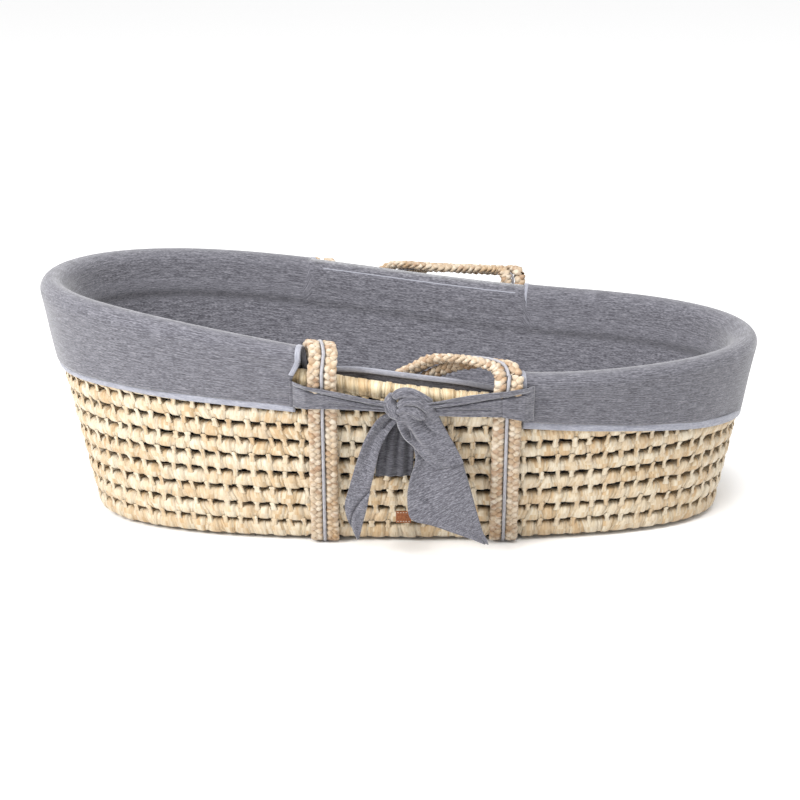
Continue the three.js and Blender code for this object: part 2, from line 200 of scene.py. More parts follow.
print("rim length", round(walk(rim_centre, 0, 2 * math.pi)[0], 3), "m")

# %% [markdown]
# ## Shaping a grid
# Cloth, wraps and strands are all strips in real life, so each starts as one flat bmesh grid whose
# corners are then moved to a place worked out from how far along and across the strip they are.
# Where the strip closes on itself the doubled corners are merged.  The same grid carries a UV map,
# so that fibres and knitting follow the strip.

# %% Grid helpers
def add_strip(mesh, columns, rows, place, size=(1.0, 1.0), corner=(0.0, 0.0)):
    """Adds a grid to a bmesh; place takes arrays of u and v and gives their points."""
    uv = mesh.loops.layers.uv.verify()
    made = bmesh.ops.create_grid(mesh, x_segments=columns, y_segments=rows, size=0.5)["verts"]
    flat = np.array([vertex.co for vertex in made]) + 0.5
    where = {vertex: spot for vertex, spot in zip(made, flat)}
    for face in {face for vertex in made for face in vertex.link_faces}:
        for loop in face.loops:
            u, v = where[loop.vert][:2]
            loop[uv].uv = (corner[0] + u * size[0], corner[1] + v * size[1])
    for vertex, point in zip(made, place(flat[:, 0], flat[:, 1])):
        vertex.co = point
    return made


def to_object(mesh, name, closed=True, facing=None):
    """Turns a bmesh into a smooth-shaded object, with its faces pointing outwards."""
    if closed:
        bmesh.ops.remove_doubles(mesh, verts=mesh.verts, dist=2e-6)
        bmesh.ops.dissolve_degenerate(mesh, edges=mesh.edges, dist=1e-7)
        bmesh.ops.recalc_face_normals(mesh, faces=mesh.faces)
    mesh.normal_update()
    if facing is not None:
        agree = sum(face.normal.dot(facing(face.calc_center_median())) for face in mesh.faces)
        if agree < 0:
            bmesh.ops.reverse_faces(mesh, faces=mesh.faces)
    for face in mesh.faces:
        face.smooth = True
    data = bpy.data.meshes.new(name)
    mesh.to_mesh(data)
    mesh.free()
    piece = bpy.data.objects.new(name, data)
    bpy.context.scene.collection.objects.link(piece)
    return piece


def from_middle(point):
    """Outwards from the basket's middle line, which is how a wall piece faces."""
    return Vector((point.x * 0.3, point.y, 0.0)).normalized()


def thicken(piece, thickness):
    """Gives a sheet of cloth its thickness, half to each side."""
    solid = piece.modifiers.new("thickness", "SOLIDIFY")
    solid.thickness = thickness
    solid.offset = 0.0
    return piece


def finish_piece(piece, material, slot_name, *nodes, body="basket"):
    """Gives a piece its material, hides the solids it stands for and puts it in its body; slot_name
    is not used.
    """
    piece.data.materials.append(material)
    if nodes:
        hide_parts(*nodes)
    if body:
        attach(piece, body)
    return piece


def cloth_piece(name, grid, place, size, facing, thickness, material, *nodes, corner=(0.0, 0.0),
                joined=False):
    """A thickened sheet of cloth from one strip, closed into a ring when it is joined."""
    mesh = bmesh.new()
    add_strip(mesh, *grid, place, size, corner)
    if joined:
        bmesh.ops.remove_doubles(mesh, verts=mesh.verts, dist=2e-6)
    piece = thicken(to_object(mesh, name, closed=False, facing=facing), thickness)
    return finish_piece(piece, material, "grey_jersey", *nodes)


def wavy(x, y, seed, scale):
    """Gentle unevenness between -1 and 1, the same on every run."""
    turn = random.Random(seed)
    total = 0.0
    for _ in range(5):
        a = turn.uniform(-1, 1) * scale
        b = turn.uniform(-1, 1) * scale
        total = total + np.sin(a * x + b * y + turn.uniform(0, 6.28))
    return total / 3.2


print("helpers ready")

# %% [markdown]
# ## Node helpers
# The finishes share a few steps: reading the UV map, stretching noise along a strip and blending
# colours.  Short helpers keep each material readable.

# %% Material helpers
def new_material(name, roughness=0.7, specular=0.3):
    material = bpy.data.materials.new(name)
    material.use_nodes = True
    surface = material.node_tree.nodes["Principled BSDF"]
    surface.inputs["Roughness"].default_value = roughness
    surface.inputs["Specular IOR Level"].default_value = specular
    return material, material.node_tree, surface


ROOM = 0.60  # the white room is bright, so finishes are darker than they look


def colour(red, green, blue):
    """The colour a surface should look, from 0 to 255, as the linear colour to give it."""
    return tuple(ROOM * (v / 255) ** 2.2 for v in (red, green, blue)) + (1.0,)


def noise_on(tree, source, scale, size=1.0, detail=3.0):
    """Noise on coordinates that are stretched by a Mapping node."""
    mapping = tree.nodes.new("ShaderNodeMapping")
    mapping.inputs["Scale"].default_value = scale
    tree.links.new(source, mapping.inputs["Vector"])
    noise = tree.nodes.new("ShaderNodeTexNoise")
    noise.inputs["Scale"].default_value = size
    noise.inputs["Detail"].default_value = detail
    tree.links.new(mapping.outputs["Vector"], noise.inputs["Vector"])
    return noise.outputs["Fac"]


def ramp_on(tree, source, stops):
    ramp = tree.nodes.new("ShaderNodeValToRGB")
    elements = ramp.color_ramp.elements
    elements[0].position, elements[0].color = stops[0]
    elements[1].position, elements[1].color = stops[-1]
    for position, value in stops[1:-1]:
        elements.new(position).color = value
    tree.links.new(source, ramp.inputs["Fac"])
    return ramp.outputs["Color"]


def give(tree, socket, value):
    """Sets a socket to a plain value, or links another node's output to it."""
    if isinstance(value, (int, float, tuple)):
        socket.default_value = value
    else:
        tree.links.new(value, socket)


def mix(tree, factor, first, second, mode="MIX"):
    node = tree.nodes.new("ShaderNodeMix")
    node.data_type = "RGBA"
    node.blend_type = mode
    for number, value in ((0, factor), (6, first), (7, second)):
        give(tree, node.inputs[number], value)
    return node.outputs[2]


def maths(tree, operation, first, second=0.0):
    node = tree.nodes.new("ShaderNodeMath")
    node.operation = operation
    give(tree, node.inputs[0], first)
    give(tree, node.inputs[1], second)
    return node.outputs[0]


def bump_on(tree, surface, height, distance, strength=1.0, under=None):
    bump = tree.nodes.new("ShaderNodeBump")
    bump.inputs["Strength"].default_value = strength
    bump.inputs["Distance"].default_value = distance
    tree.links.new(height, bump.inputs["Height"])
    if under is not None:
        tree.links.new(under, bump.inputs["Normal"])
    tree.links.new(bump.outputs["Normal"], surface.inputs["Normal"])
    return bump.outputs["Normal"]


BLACK = (0.0, 0.0, 0.0, 1.0)

# %% [markdown]
# ## Husk
# Dried husk is cream with straw, tan and a few brown strips, a faint gloss, and fine ribs that run
# the length of each strip.  On a coil, one unit across the UV map is one wrap, so the whole part of
# that number picks the strip's tint, and noise stretched along the strip draws its ribs.

# %% Husk materials
def husk(name, tones, ribs, gloss, stain=0.5):
    material, tree, surface = new_material(name, gloss, 0.35)
    uv = tree.nodes.new("ShaderNodeUVMap").outputs["UV"]
    split = tree.nodes.new("ShaderNodeSeparateXYZ")
    tree.links.new(uv, split.inputs["Vector"])
    strip = maths(tree, "FLOOR", split.outputs["X"])
    pick = tree.nodes.new("ShaderNodeTexWhiteNoise")
    pick.noise_dimensions = "1D"
    tree.links.new(strip, pick.inputs["W"])
    bundles = noise_on(tree, uv, (ribs * 0.45, 0.35, 1.0), 1.0, 1.0)
    spread = maths(tree, "MULTIPLY", maths(tree, "SUBTRACT", bundles, 0.5), 1.6)
    tint = ramp_on(tree, maths(tree, "ADD", pick.outputs["Value"], spread), tones)
    fibres = noise_on(tree, uv, (ribs * 1.4, 0.8, 1.0), 1.0, 5.0)
    place = tree.nodes.new("ShaderNodeTexCoord").outputs["Object"]
    patches = noise_on(tree, place, (1.0, 1.0, 1.0), 48.0, 3.0)
    patch_share = ramp_on(tree, patches, [(0.50, BLACK), (0.76, (stain, stain, stain, 1.0))])
    stained = mix(tree, patch_share, tint, colour(206, 166, 116))
    fibre_tone = ramp_on(tree, fibres, [(0.28, FIBRE_LOW), (0.50, FIBRE_MID), (0.66, FIBRE_HIGH)])
    ribbed = mix(tree, 0.85, stained, fibre_tone, "MULTIPLY")
    tree.links.new(ribbed, surface.inputs["Base Color"])
    creases = noise_on(tree, uv, (ribs * 0.40, 0.5, 1.0), 1.0, 2.0)
    folds = bump_on(tree, surface, creases, 0.0020, 0.9)
    bump_on(tree, surface, fibres, 0.0008, 1.0, folds)
    surface.inputs["Sheen Weight"].default_value = 0.10
    return material


FIBRE_LOW = (0.62, 0.50, 0.36, 1.0)
FIBRE_MID = (0.90, 0.85, 0.76, 1.0)
FIBRE_HIGH = (1.0, 0.98, 0.94, 1.0)
WRAP_TONES = [
    (0.0, colour(230, 206, 172)), (0.22, colour(242, 226, 200)), (0.6, colour(251, 242, 224)),
    (0.85, colour(242, 226, 198)), (1.0, colour(226, 198, 160)),
]
BRAID_TONES = [
    (0.0, colour(198, 174, 150)), (0.3, colour(222, 204, 182)), (0.7, colour(240, 228, 212)),
    (1.0, colour(196, 166, 140)),
]
RIM_TONES = [
    (0.0, colour(228, 204, 164)), (0.5, colour(248, 234, 204)), (1.0, colour(226, 198, 156)),
]
wrap_husk = husk("wrap_husk", WRAP_TONES, ribs=11.0, gloss=0.52)
braid_husk = husk("braid_husk", BRAID_TONES, ribs=7.0, gloss=0.6, stain=0.7)
rim_husk = husk("rim_husk", RIM_TONES, ribs=12.0, gloss=0.5, stain=0.25)
print("husk materials ready")

# %% [markdown]
# ## Jersey, tape and the small finishes
# The cover is a heather jersey: dark and light fibres are mixed in the yarn, so short pale and dark
# flecks lie along the knitting.  Noise that is long across the cloth and thin up it gives them, on a
# UV map measured in metres.  A tiny rib bump and a soft sheen keep it from looking like paint.

# %% Cloth materials
def heather(name, dark, mid, light):
    material, tree, surface = new_material(name, 0.95, 0.15)
    uv = tree.nodes.new("ShaderNodeUVMap").outputs["UV"]
    flecks = noise_on(tree, uv, (240.0, 1500.0, 1.0), 1.0, 3.0)
    slubs = noise_on(tree, uv, (60.0, 560.0, 1.0), 1.0, 2.0)
    both = maths(tree, "ADD", maths(tree, "MULTIPLY", flecks, 0.6),
                 maths(tree, "MULTIPLY", slubs, 0.4))
    tone = ramp_on(tree, both, [(0.38, dark), (0.5, mid), (0.62, light)])
    tree.links.new(tone, surface.inputs["Base Color"])
    bump_on(tree, surface, flecks, 0.0004, 0.6)
    surface.inputs["Sheen Weight"].default_value = 0.35
    surface.inputs["Sheen Roughness"].default_value = 0.5
    return material


jersey = heather("heather_jersey", colour(76, 75, 82), colour(111, 110, 118), colour(150, 149, 157))
# A darker copy of the jersey: painted shade for the bow's back loop, which hangs in shadow behind the
# other sheets.
painted_shade_jersey = heather("jersey_painted_shade", colour(52, 51, 56), colour(76, 75, 81), colour(106, 105, 111))
tape = heather("binding_tape", colour(150, 151, 163), colour(168, 169, 180), colour(186, 187, 197))
cotton = heather("mattress_cotton", colour(232, 231, 226), colour(240, 239, 235),
                 colour(248, 248, 245))
cord_cotton = heather("seam_cord", colour(158, 156, 162), colour(180, 178, 183),
                      colour(200, 198, 202))


def grainy(name, low, high, size, roughness, depth):
    """Leather or foam: fine grain in the same colour family, on the piece's own coordinates."""
    material, tree, surface = new_material(name, roughness, 0.3)
    place = tree.nodes.new("ShaderNodeTexCoord").outputs["Object"]
    grain = noise_on(tree, place, (1.0, 1.0, 1.0), size, 5.0)
    tree.links.new(ramp_on(tree, grain, [(0.35, low), (0.65, high)]), surface.inputs["Base Color"])
    bump_on(tree, surface, grain, depth)
    return material


leather = grainy("tab_leather", colour(128, 70, 38), colour(176, 108, 64), 900.0, 0.5, 0.0003)
foam = grainy("mattress_foam", colour(222, 216, 194), colour(238, 234, 216), 700.0, 0.95, 0.0005)
thread = grainy("stitch_thread", colour(226, 218, 200), colour(244, 238, 224), 1500.0, 0.8, 0.0002)
print("cloth materials ready")

# %% [markdown]
# ## Wrapped coils
# A coil is a bundle of husk bound with a flat strip that goes round it again and again.  Every turn
# stands out as a plump cell about 19 mm wide, the next strip lies over its edge, and where the strip
# is drawn through the coil below it makes a narrow bridge with a dark slot on each side.  The coil
# could be one tube with a bump texture, but its outline has to be lumpy too, so the wraps are real.

# %% One wrapped coil
WRAP = 0.019
STOPS = (0.0, 0.05, 0.24, 0.50, 0.68, 0.74, 0.80, 0.95)
LIFTS = (-1.3, 0.1, 0.9, 1.0, 0.3, -0.9, -0.3, -0.4)
AROUND = 14
SEED_STEP = 300.0  # keeps the wraps of one coil clear of another's on the UV map


def coil_section(turn, roundness):
    """Outwards and upwards shares of a rounded-square section."""
    across, up = np.cos(turn), np.sin(turn)
    power = 2 / roundness
    return np.sign(across) * np.abs(across) ** power, np.sign(up) * np.abs(up) ** power


def add_coil(mesh, low_of, high_of, start, end, seed, depth=ROW_DEPTH, closed=True, roundness=3.4,
             slant=0.0035, wrap=WRAP, floor_at=None):
    """A coil of wraps between two heights, from one angle to another."""
    length, angle_at = walk(lambda along: (low_of(along) + high_of(along)) / 2, start, end)
    count = round(length / wrap)
    dice = np.random.default_rng(seed)
    edges = np.arange(count + 1) * length / count
    edges[1:-1] += dice.uniform(-0.16, 0.16, count - 1) * length / count
    slants = dice.uniform(-1, 1, count + 1) * slant
    plump = 1 + dice.uniform(-0.5, 0.5, count + 1)
    tall = dice.uniform(-0.0008, 0.0005, count + 1)
    if closed:
        slants[-1], plump[-1], tall[-1] = slants[0], plump[0], tall[0]
    stops, lifts = np.array(STOPS), np.array(LIFTS)
    each = len(stops)

    def place(u, v):
        column = np.round(u * count * each).astype(int)
        cell, part = column // each, column % each
        after = np.minimum(cell + 1, count)
        turn = 2 * np.pi * v
        across, up = coil_section(turn, roundness)
        edge = edges[cell] + slants[cell] * up
        next_edge = edges[after] + slants[after] * up
        angle = angle_at(lerp(edge, next_edge, stops[part]))
        along = np.cos(angle)
        low, high = low_of(along), high_of(along)
        outer = np.clip(across + 0.35, 0, 1)
        lift = lifts[part] * plump[cell] * MM * outer
        crown = np.where(part > 4, 0.35, 1.0) * 0.8 * MM * outer
        half = (high - low) / 2 + np.where(part > 4, -1.0 * MM, tall[cell])
        height = (low + high) / 2 + half * up
        inset = depth / 2 * (1 - across) - lift - crown * (1 - up * up)
        points = wall_point(angle, height, inset)
        if floor_at is not None:
            points[:, 2] = np.maximum(points[:, 2], floor_at(points))
        if not closed:
            end_cap = (column == 0) | (column == count * each)
            middle = wall_point(angle, (low + high) / 2, depth / 2)
            points[end_cap] = middle[end_cap]
        return points

    add_strip(mesh, count * each, AROUND, place, (count, 4.0), (seed * SEED_STEP, 0.0))


def add_bridges(mesh, level_of, start, end, seed, shift=0.0):
    """Narrow stitches that cross the slot between two coils and fan out over both."""
    length, angle_at = walk(level_of, start, end)
    dice = np.random.default_rng(seed)
    count = round(length / WRAP)
    for number in range(count):
        middle = (number + 0.78 + dice.uniform(-0.12, 0.12)) * length / count + shift
        down, up = dice.uniform(4.6, 8.6) * MM, dice.uniform(3.8, 6.6) * MM
        waist = dice.uniform(2.2, 3.3) * MM
        fan_down, fan_up = dice.uniform(0.2, 3.4) * MM, dice.uniform(0.2, 2.6) * MM
        lean = dice.uniform(-0.22, 0.22)

        def place(u, v):
            turn = 2 * np.pi * u
            reach = 2 * v - 1
            rise = np.where(reach < 0, reach * down, reach * up)
            fan = np.where(reach < 0, fan_down, fan_up)
            wide = waist + fan * np.abs(reach) ** 1.3
            wide = np.where(np.abs(reach) > 0.95, wide * 0.6, wide)
            aside = wide * np.cos(turn) + lean * rise
            angle = angle_at(middle + aside)
            dip = 1.7 * MM * np.exp(-((rise / (3.4 * MM)) ** 2))
            sink = 1.5 * MM * smooth((np.abs(reach) - 0.6) / 0.4)
            dome = 0.9 * MM * np.sin(turn)
            inset = dip + sink - 0.9 * MM - dome
            return wall_point(angle, level_of(np.cos(angle)) + rise, inset)

        add_strip(mesh, 6, 6, place, (1.0, 0.6), (seed * SEED_STEP + SEED_STEP / 2 + number, 0.0))


STRAP_LIFT = 0.0076
STRAP_LIFT_REACH = 0.024
STRAP_LIFT_SLOPE = 0.006


def strap_clear(points):
    """Lowest height a coil may have: it rides up over the straps that pass under it."""
    over = np.zeros(len(points))
    for side, legs in ((-1, LEGS["front"]), (1, LEGS["rear"])):
        for leg in legs:
            near = smooth((STRAP_LIFT_REACH - np.abs(points[:, 0] - leg)) / STRAP_LIFT_SLOPE)
            over = np.maximum(over, near * (points[:, 1] * side > 0.0) * STRAP_LIFT)
    return over

# %% The full rows
def row_low(row):
    return ROW_START + ROW_PITCH * row


def slot_at(row):
    """Half of the slot above and below a row; the lowest rows are pulled tighter."""
    return (0.8 + 1.1 * min(row / 3, 1.0)) * MM


for row in range(ROW_COUNT):
    mesh = bmesh.new()
    low, high = row_low(row) + slot_at(row), row_low(row) + ROW_PITCH - slot_at(row)
    add_coil(mesh, lambda a: low + 0 * a, lambda a: np.minimum(high, rim_bottom(a) - 0.001), 0,
             2 * math.pi, row + 1, floor_at=strap_clear)
    if row:
        add_bridges(mesh, lambda a: row_low(row) + 0 * a, 0, 2 * math.pi, row + 40,
                    shift=(row % 2) * 0.4 * WRAP)
    piece = to_object(mesh, f"wrapped_row_{row + 1:02d}")
    finish_piece(piece, wrap_husk, "wrapped_husk", f"coil_row_{row + 1:02d}")
print("rows made:", ROW_COUNT, "faces each about", len(piece.data.polygons))

# %% [markdown]
# ## The wedge rows and the rim coil
# The head end is raised by short rows that thin out to nothing, like the extra courses in a wicker
# chair's back.  The rim coil on top is thicker, wrapped more closely and smoother, because it
# carries the handles' pull.  Both are the same wrapped coil, with a height that changes along it.

# %% Wedge rows and rim coil
for number in range(3):
    low = row_low(ROW_COUNT + number) + 0.0008
    reach = 0.0
    while min(low + ROW_PITCH, rim_bottom(math.cos(HEAD - reach))) - low > 0.005:
        reach += 0.01
    mesh = bmesh.new()
    add_coil(mesh, lambda a: low + 0 * a,
             lambda a: np.minimum(low + ROW_PITCH - 0.0016, rim_bottom(a) - 0.0006),
             HEAD - reach, HEAD + reach, 20 + number, closed=False)
    add_bridges(mesh, lambda a: low - 0.0006 + 0 * a, HEAD - reach, HEAD + reach, 60 + number)
    piece = to_object(mesh, f"wedge_row_{number + 1}")
    finish_piece(piece, wrap_husk, "wrapped_husk", f"head_short_row_{number + 1}")

mesh = bmesh.new()
add_coil(mesh, lambda a: rim_centre(a) - RIM_RADIUS, lambda a: rim_centre(a) + RIM_RADIUS - 0.0005,
         0, 2 * math.pi, 30, depth=2 * RIM_RADIUS, roundness=2.0, slant=0.002, wrap=0.0135)
add_bridges(mesh, lambda a: rim_centre(a) - RIM_RADIUS, 0, 2 * math.pi, 70)
rim_piece = to_object(mesh, "wrapped_rim_coil")
finish_piece(rim_piece, rim_husk, "wrapped_husk", "rim_coil")
print("rim coil faces", len(rim_piece.data.polygons))

# %% [markdown]
# ## The base
# The base is the start of the spiral: the same coil laid flat in ovals, one inside the next.  It is
# seen only when the basket is turned over, where the two straps cross it, pressed into the husk.

# %% Coiled base
RING_COUNT = 8
RING_PITCH = 0.0172
RING_STOPS = (0.0, 0.1, 0.45, 0.75, 0.93)
RING_LIFTS = (-1.0, 0.1, 0.5, 0.4, 0.0)
RING_OVAL = {"half_length": 0.3677, "half_width": 0.1634, "roundness": 2.5, "centre_x": 0.0088}


def ring_xy(angle, inset):
    """A ring is the base's oval with its length and its width both cut by the inset."""
    along = np.cos(angle)
    side = np.where(np.sin(angle) < 0, -1.0, 1.0)
    width = np.maximum(RING_OVAL["half_width"] - inset, 0.001)
    shape = half_width({"half_width": 1.0, "roundness": RING_OVAL["roundness"]}, along)
    return RING_OVAL["centre_x"] + (RING_OVAL["half_length"] - inset) * along, side * width * shape


def add_ring(mesh, ring):
    """One flat ring of wraps, which rides up over the straps."""
    ring_inset = ROW_DEPTH + 0.001 + ring * RING_PITCH
    level = ROW_START + ROW_PITCH / 2
    length = walk(lambda along: level + 0 * along, 0, 2 * math.pi)[0] - 6.0 * ring_inset
    cells = max(12, round(length / 0.021))
    stops, lifts = np.array(RING_STOPS), np.array(RING_LIFTS)
    each = len(stops)

    def place(u, v):
        column = np.round(u * cells * each).astype(int)
        bulge = lifts[column % each] * MM
        angle = (column // each + stops[column % each]) * 2 * np.pi / cells
        across, up = coil_section(2 * np.pi * v, 2.6)
        x, y = ring_xy(angle, ring_inset + 0.0086 * (1 - across))
        height = np.where(up < 0, 0.0072 + 0.0071 * up - bulge * up * 0.5,
                          0.007 + (0.0068 + bulge) * up)
        points = np.stack([x, y, np.maximum(height, 0.0002)], axis=-1)
        points[:, 2] = np.maximum(points[:, 2], strap_clear(points))
        return points

    add_strip(mesh, cells * each, 10, place, (cells, 4.0), ((100 + ring) * SEED_STEP, 0.0))


mesh = bmesh.new()
for ring in range(RING_COUNT):
    add_ring(mesh, ring)
base_piece = to_object(mesh, "coiled_base")
finish_piece(base_piece, wrap_husk, "wrapped_husk", "base_mat")
print("base rings", RING_COUNT)

# %% [markdown]
# ## Where the straps and handles run
# A strap goes down the front wall, under the base and up the rear.  At each top it folds over
# towards the rear and carries on as a rope handle.  Every braid, cord and stitch follows the same
# line, so this part gives a point for a distance along the line, a distance across the strap and a
# lift off it.

# %% Handle dimensions and the fold
LEG_END = 0.7
FRONT = {
    "side": -1, "left_drop": 0.022, "right_drop": 0.020,
    "radius": 0.024, "angle": math.radians(160),
    "path": [(101, 0), (101, 14), (94, 31), (66, 46), (32, 60), (0, 84), (-33, 106), (-74, 110),
             (-104, 90), (-109, 60), (-104, 32), (-101, 14), (-101, 0)],
}
REAR = {
    "side": 1, "left_drop": 0.028, "right_drop": 0.009,
    "radius": 0.018, "angle": math.radians(172),
    "path": [(119, 0), (119, 14), (106, 32), (70, 34), (20, 33), (-25, 46), (-60, 72), (-96, 78),
             (-122, 60), (-126, 34), (-121, 14), (-120, 0)],
}


def strap_depth(x, height):
    edges = [wall_depth(x + edge * STRAP_WIDTH, height) for edge in (-0.5, 0.0, 0.5)]
    return np.max(edges, axis=0) + 0.0004 + STRAP_THICKNESS / 2


def add_frame(loop, legs):
    """The fold line between the tops of the two legs, and the directions across it."""
    def leg_top(x, drop):
        top = float(rim_top(x / RIM["half_length"]))
        height = top - drop
        depth = float(strap_depth(x, min(height, top - RIM_RADIUS)))
        return np.array([x, loop["side"] * depth, height])

    loop["left"] = leg_top(legs[0], loop["left_drop"])
    loop["right"] = leg_top(legs[1], loop["right_drop"])
    along = loop["right"] - loop["left"]
    loop["along"] = along / np.linalg.norm(along)
    up = np.cross(loop["along"], (0.0, 1.0, 0.0))
    loop["up"] = up / np.linalg.norm(up)
    loop["over"] = np.cross(loop["up"], loop["along"])
    loop["middle"] = (loop["left"] + loop["right"]) / 2


def fold(loop, along, rise, lift):
    """Puts a point of the flat loop on the folded one."""
    radius = loop["radius"]
    turn = np.clip(rise / radius, 0, loop["angle"])
    straight = rise - radius * turn
    over = radius - (radius + lift) * np.cos(turn) + straight * np.sin(turn)
    up = (radius + lift) * np.sin(turn) + straight * np.cos(turn)
    return (loop["middle"] + np.multiply.outer(along, loop["along"])
            + np.multiply.outer(over, loop["over"]) + np.multiply.outer(up, loop["up"]))


add_frame(FRONT, LEGS["front"])
add_frame(REAR, LEGS["rear"])
print("front fold middle", np.round(FRONT["middle"], 4), "rear", np.round(REAR["middle"], 4))

# %% A smooth line through a few points
def smooth_path(points, count):
    """Evenly spaced points on a Catmull-Rom line, which is rounder than straight pieces."""
    given = np.array(points, float)
    given = np.vstack([2 * given[0] - given[1], given, 2 * given[-1] - given[-2]])
    fine = []
    for a, b, c, d in zip(given, given[1:], given[2:], given[3:]):
        first, second, third = (max(np.linalg.norm(q - p), 1e-9) ** 0.5
                                for p, q in ((a, b), (b, c), (c, d)))
        leave = ((b - a) / first - (c - a) / (first + second) + (c - b) / second) * second
        arrive = ((c - b) / second - (d - b) / (second + third) + (d - c) / third) * second
        t = np.linspace(0, 1, 24, endpoint=False)[:, None]
        fine.append((2 * t**3 - 3 * t**2 + 1) * b + (t**3 - 2 * t**2 + t) * leave
                    + (3 * t**2 - 2 * t**3) * c + (t**3 - t**2) * arrive)
    fine = np.vstack(fine + [given[-2:-1]])
    travelled = distances(fine)
    return between(np.linspace(0, travelled[-1], count), travelled, fine)

# %% Lines for the straps and the handles
def handle_line(loop, turned=False):
    """Length of a handle's rope and a function that places points on it."""
    flat = smooth_path(loop["path"], 400) * MM
    flat = flat[flat[:, 1] > LEG_END * loop["radius"] * 0.9]
    sign = 1.0
    if turned:
        flat, sign = flat[::-1], -1.0
    travelled = distances(flat)
    ahead = unit(np.gradient(flat, travelled, axis=0))

    def at(distance, across, lift):
        x, y = between(distance, travelled, flat).T
        ahead_x, ahead_y = between(distance, travelled, ahead).T
        return fold(loop, x + sign * ahead_y * across, y - sign * ahead_x * across, sign * lift)

    return travelled[-1], at


def strap_line(leg, across_sign):
    """A whole strap, from the fold at the rear, under the base, to the fold at the front."""
    stations = []
    for loop, backwards in ((REAR, False), (FRONT, True)):
        top = loop[leg]
        side = loop["side"]
        place = float(np.dot(top - loop["middle"], loop["along"]))
        one_side = []
        for turn in (LEG_END, 0.5, 0.3, 0.0):
            point = fold(loop, place, turn * loop["radius"], 0.0)
            out = fold(loop, place, turn * loop["radius"], 0.001) - point
            out = out / np.linalg.norm(out) * (-1 if side > 0 else 1)
            one_side.append((point, out, STRAP_THICKNESS))
        for share in np.linspace(0.97, 0.05, 12):
            height = lerp(STRAP_CORNER, top[2], share)
            depth = float(strap_depth(top[0], height))
            one_side.append((np.array([top[0], side * depth, height]),
                             np.array([0, side, -0.15]), STRAP_THICKNESS))
        corner_depth = float(wall_depth(top[0], STRAP_CORNER)) - 0.002
        for degrees in (0, 20, 40, 60, 80, 90):
            turn = math.radians(degrees)
            inner = lerp(0.0024, STRAP_CORNER - STRAP_PRESSED, degrees / 90)
            outer = lerp(0.0024 + STRAP_THICKNESS, STRAP_CORNER, degrees / 90)
            reach = (inner + outer) / 2
            one_side.append((np.array([top[0], side * (corner_depth + reach * math.cos(turn)),
                                       STRAP_CORNER - reach * math.sin(turn)]),
                             np.array([0, side * math.cos(turn), -math.sin(turn)]), outer - inner))
        stations += reversed(one_side) if backwards else one_side
    points = np.array([s[0] for s in stations])
    outs = np.array([s[1] for s in stations])
    thick = np.array([s[2] for s in stations]) / STRAP_THICKNESS
    travelled = distances(points)

    def at(distance, across, lift):
        place = between(distance, travelled, points)
        out = unit(between(distance, travelled, outs))
        share = np.interp(distance, travelled, thick)
        sideways = np.stack([across * across_sign, 0 * across, 0 * across], axis=-1)
        return place + out * (lift * share)[:, None] + sideways

    return travelled[-1], at

# %% [markdown]
# ## Braids
# Each strap and handle is two flat braids of three husk strands with a pale cotton cord sewn into
# the valley between them.  A strand of a braid weaves from side to side once while it goes over and
# under twice, so its middle is a sine across and a sine of twice the speed in lift.  Sweeping a
# lumpy tube along that line gives true crossings, which a texture can't.

# %% Braid and cord makers
BRAID_PERIOD = 0.0235
BRAID_WIDTH = 0.0150
BRAID_LIFT = 0.0112


def add_braid(mesh, line, seed, centre, period=BRAID_PERIOD):
    length, at = line
    whole = max(1, round(length / period))
    rate = 2 * np.pi * whole / length
    strand, flat = 0.0039, 0.0029
    swing, hop = BRAID_WIDTH / 2 - strand + 0.0003, BRAID_LIFT / 2 - flat
    columns = whole * 12
    dice = np.random.default_rng(seed)
    for number in range(3):
        start = number * 2 * np.pi / 3
        lumps = dice.uniform(0.80, 1.14, columns + 1)

        def place(u, v):
            distance = u * length
            phase = rate * distance + start
            side, over = swing * np.sin(phase), hop * np.sin(2 * phase)
            ahead = unit(np.stack([np.ones_like(phase), swing * rate * np.cos(phase),
                                   2 * hop * rate * np.cos(2 * phase)], axis=-1))
            wide = unit(np.stack([-ahead[:, 1], ahead[:, 0], 0 * phase], axis=-1))
            high = np.cross(ahead, wide)
            turn = 2 * np.pi * v
            lump = lumps[np.round(u * columns).astype(int)]
            plump = lump * (1 + 0.10 * np.cos(2 * phase)) * (1 + 0.06 * np.cos(3 * turn + phase))
            local = (np.stack([distance, side, over], axis=-1)
                     + wide * (strand * plump * np.cos(turn))[:, None]
                     + high * (flat * plump * np.sin(turn))[:, None])
            return at(np.clip(local[:, 0], 0, length), centre + local[:, 1], local[:, 2])

        add_strip(mesh, columns, 8, place, (whole * 2.0, 2.0), (seed * 100.0 + number * 37, 0.0))


def add_cord(mesh, line, across, lift, radius):
    length, at = line

    def place(u, v):
        turn = 2 * np.pi * v
        wobble = 1 + 0.06 * np.sin(u * length * 900)
        return at(u * length, across + radius * wobble * np.cos(turn),
                  lift + radius * wobble * np.sin(turn))

    add_strip(mesh, max(8, round(length / 0.004)), 8, place, (length, 0.01))


def strap_pieces(name, line, seed, *nodes, body="basket"):
    made = []
    for side, centre in (("left", -0.0088), ("right", 0.0088)):
        mesh = bmesh.new()
        add_braid(mesh, line, seed + (side == "right"), centre)
        made.append(finish_piece(to_object(mesh, f"{name}_{side}_braid"), braid_husk, "husk_braid",
                                 *nodes, body=body))
    mesh = bmesh.new()
    add_cord(mesh, line, across=0.0, lift=0.0034, radius=0.0018)
    made.append(finish_piece(to_object(mesh, f"{name}_cord"), cord_cotton, "edge_tape", body=body))
    return made

# %% Straps
for leg, sign in (("left", -1.0), ("right", 1.0)):
    pieces = strap_pieces(f"strap_{leg}", strap_line(leg, sign), 200 if leg == "left" else 210,
                          f"strap_{leg}")
    print("strap", leg, len(pieces[0].data.polygons), "faces a braid")
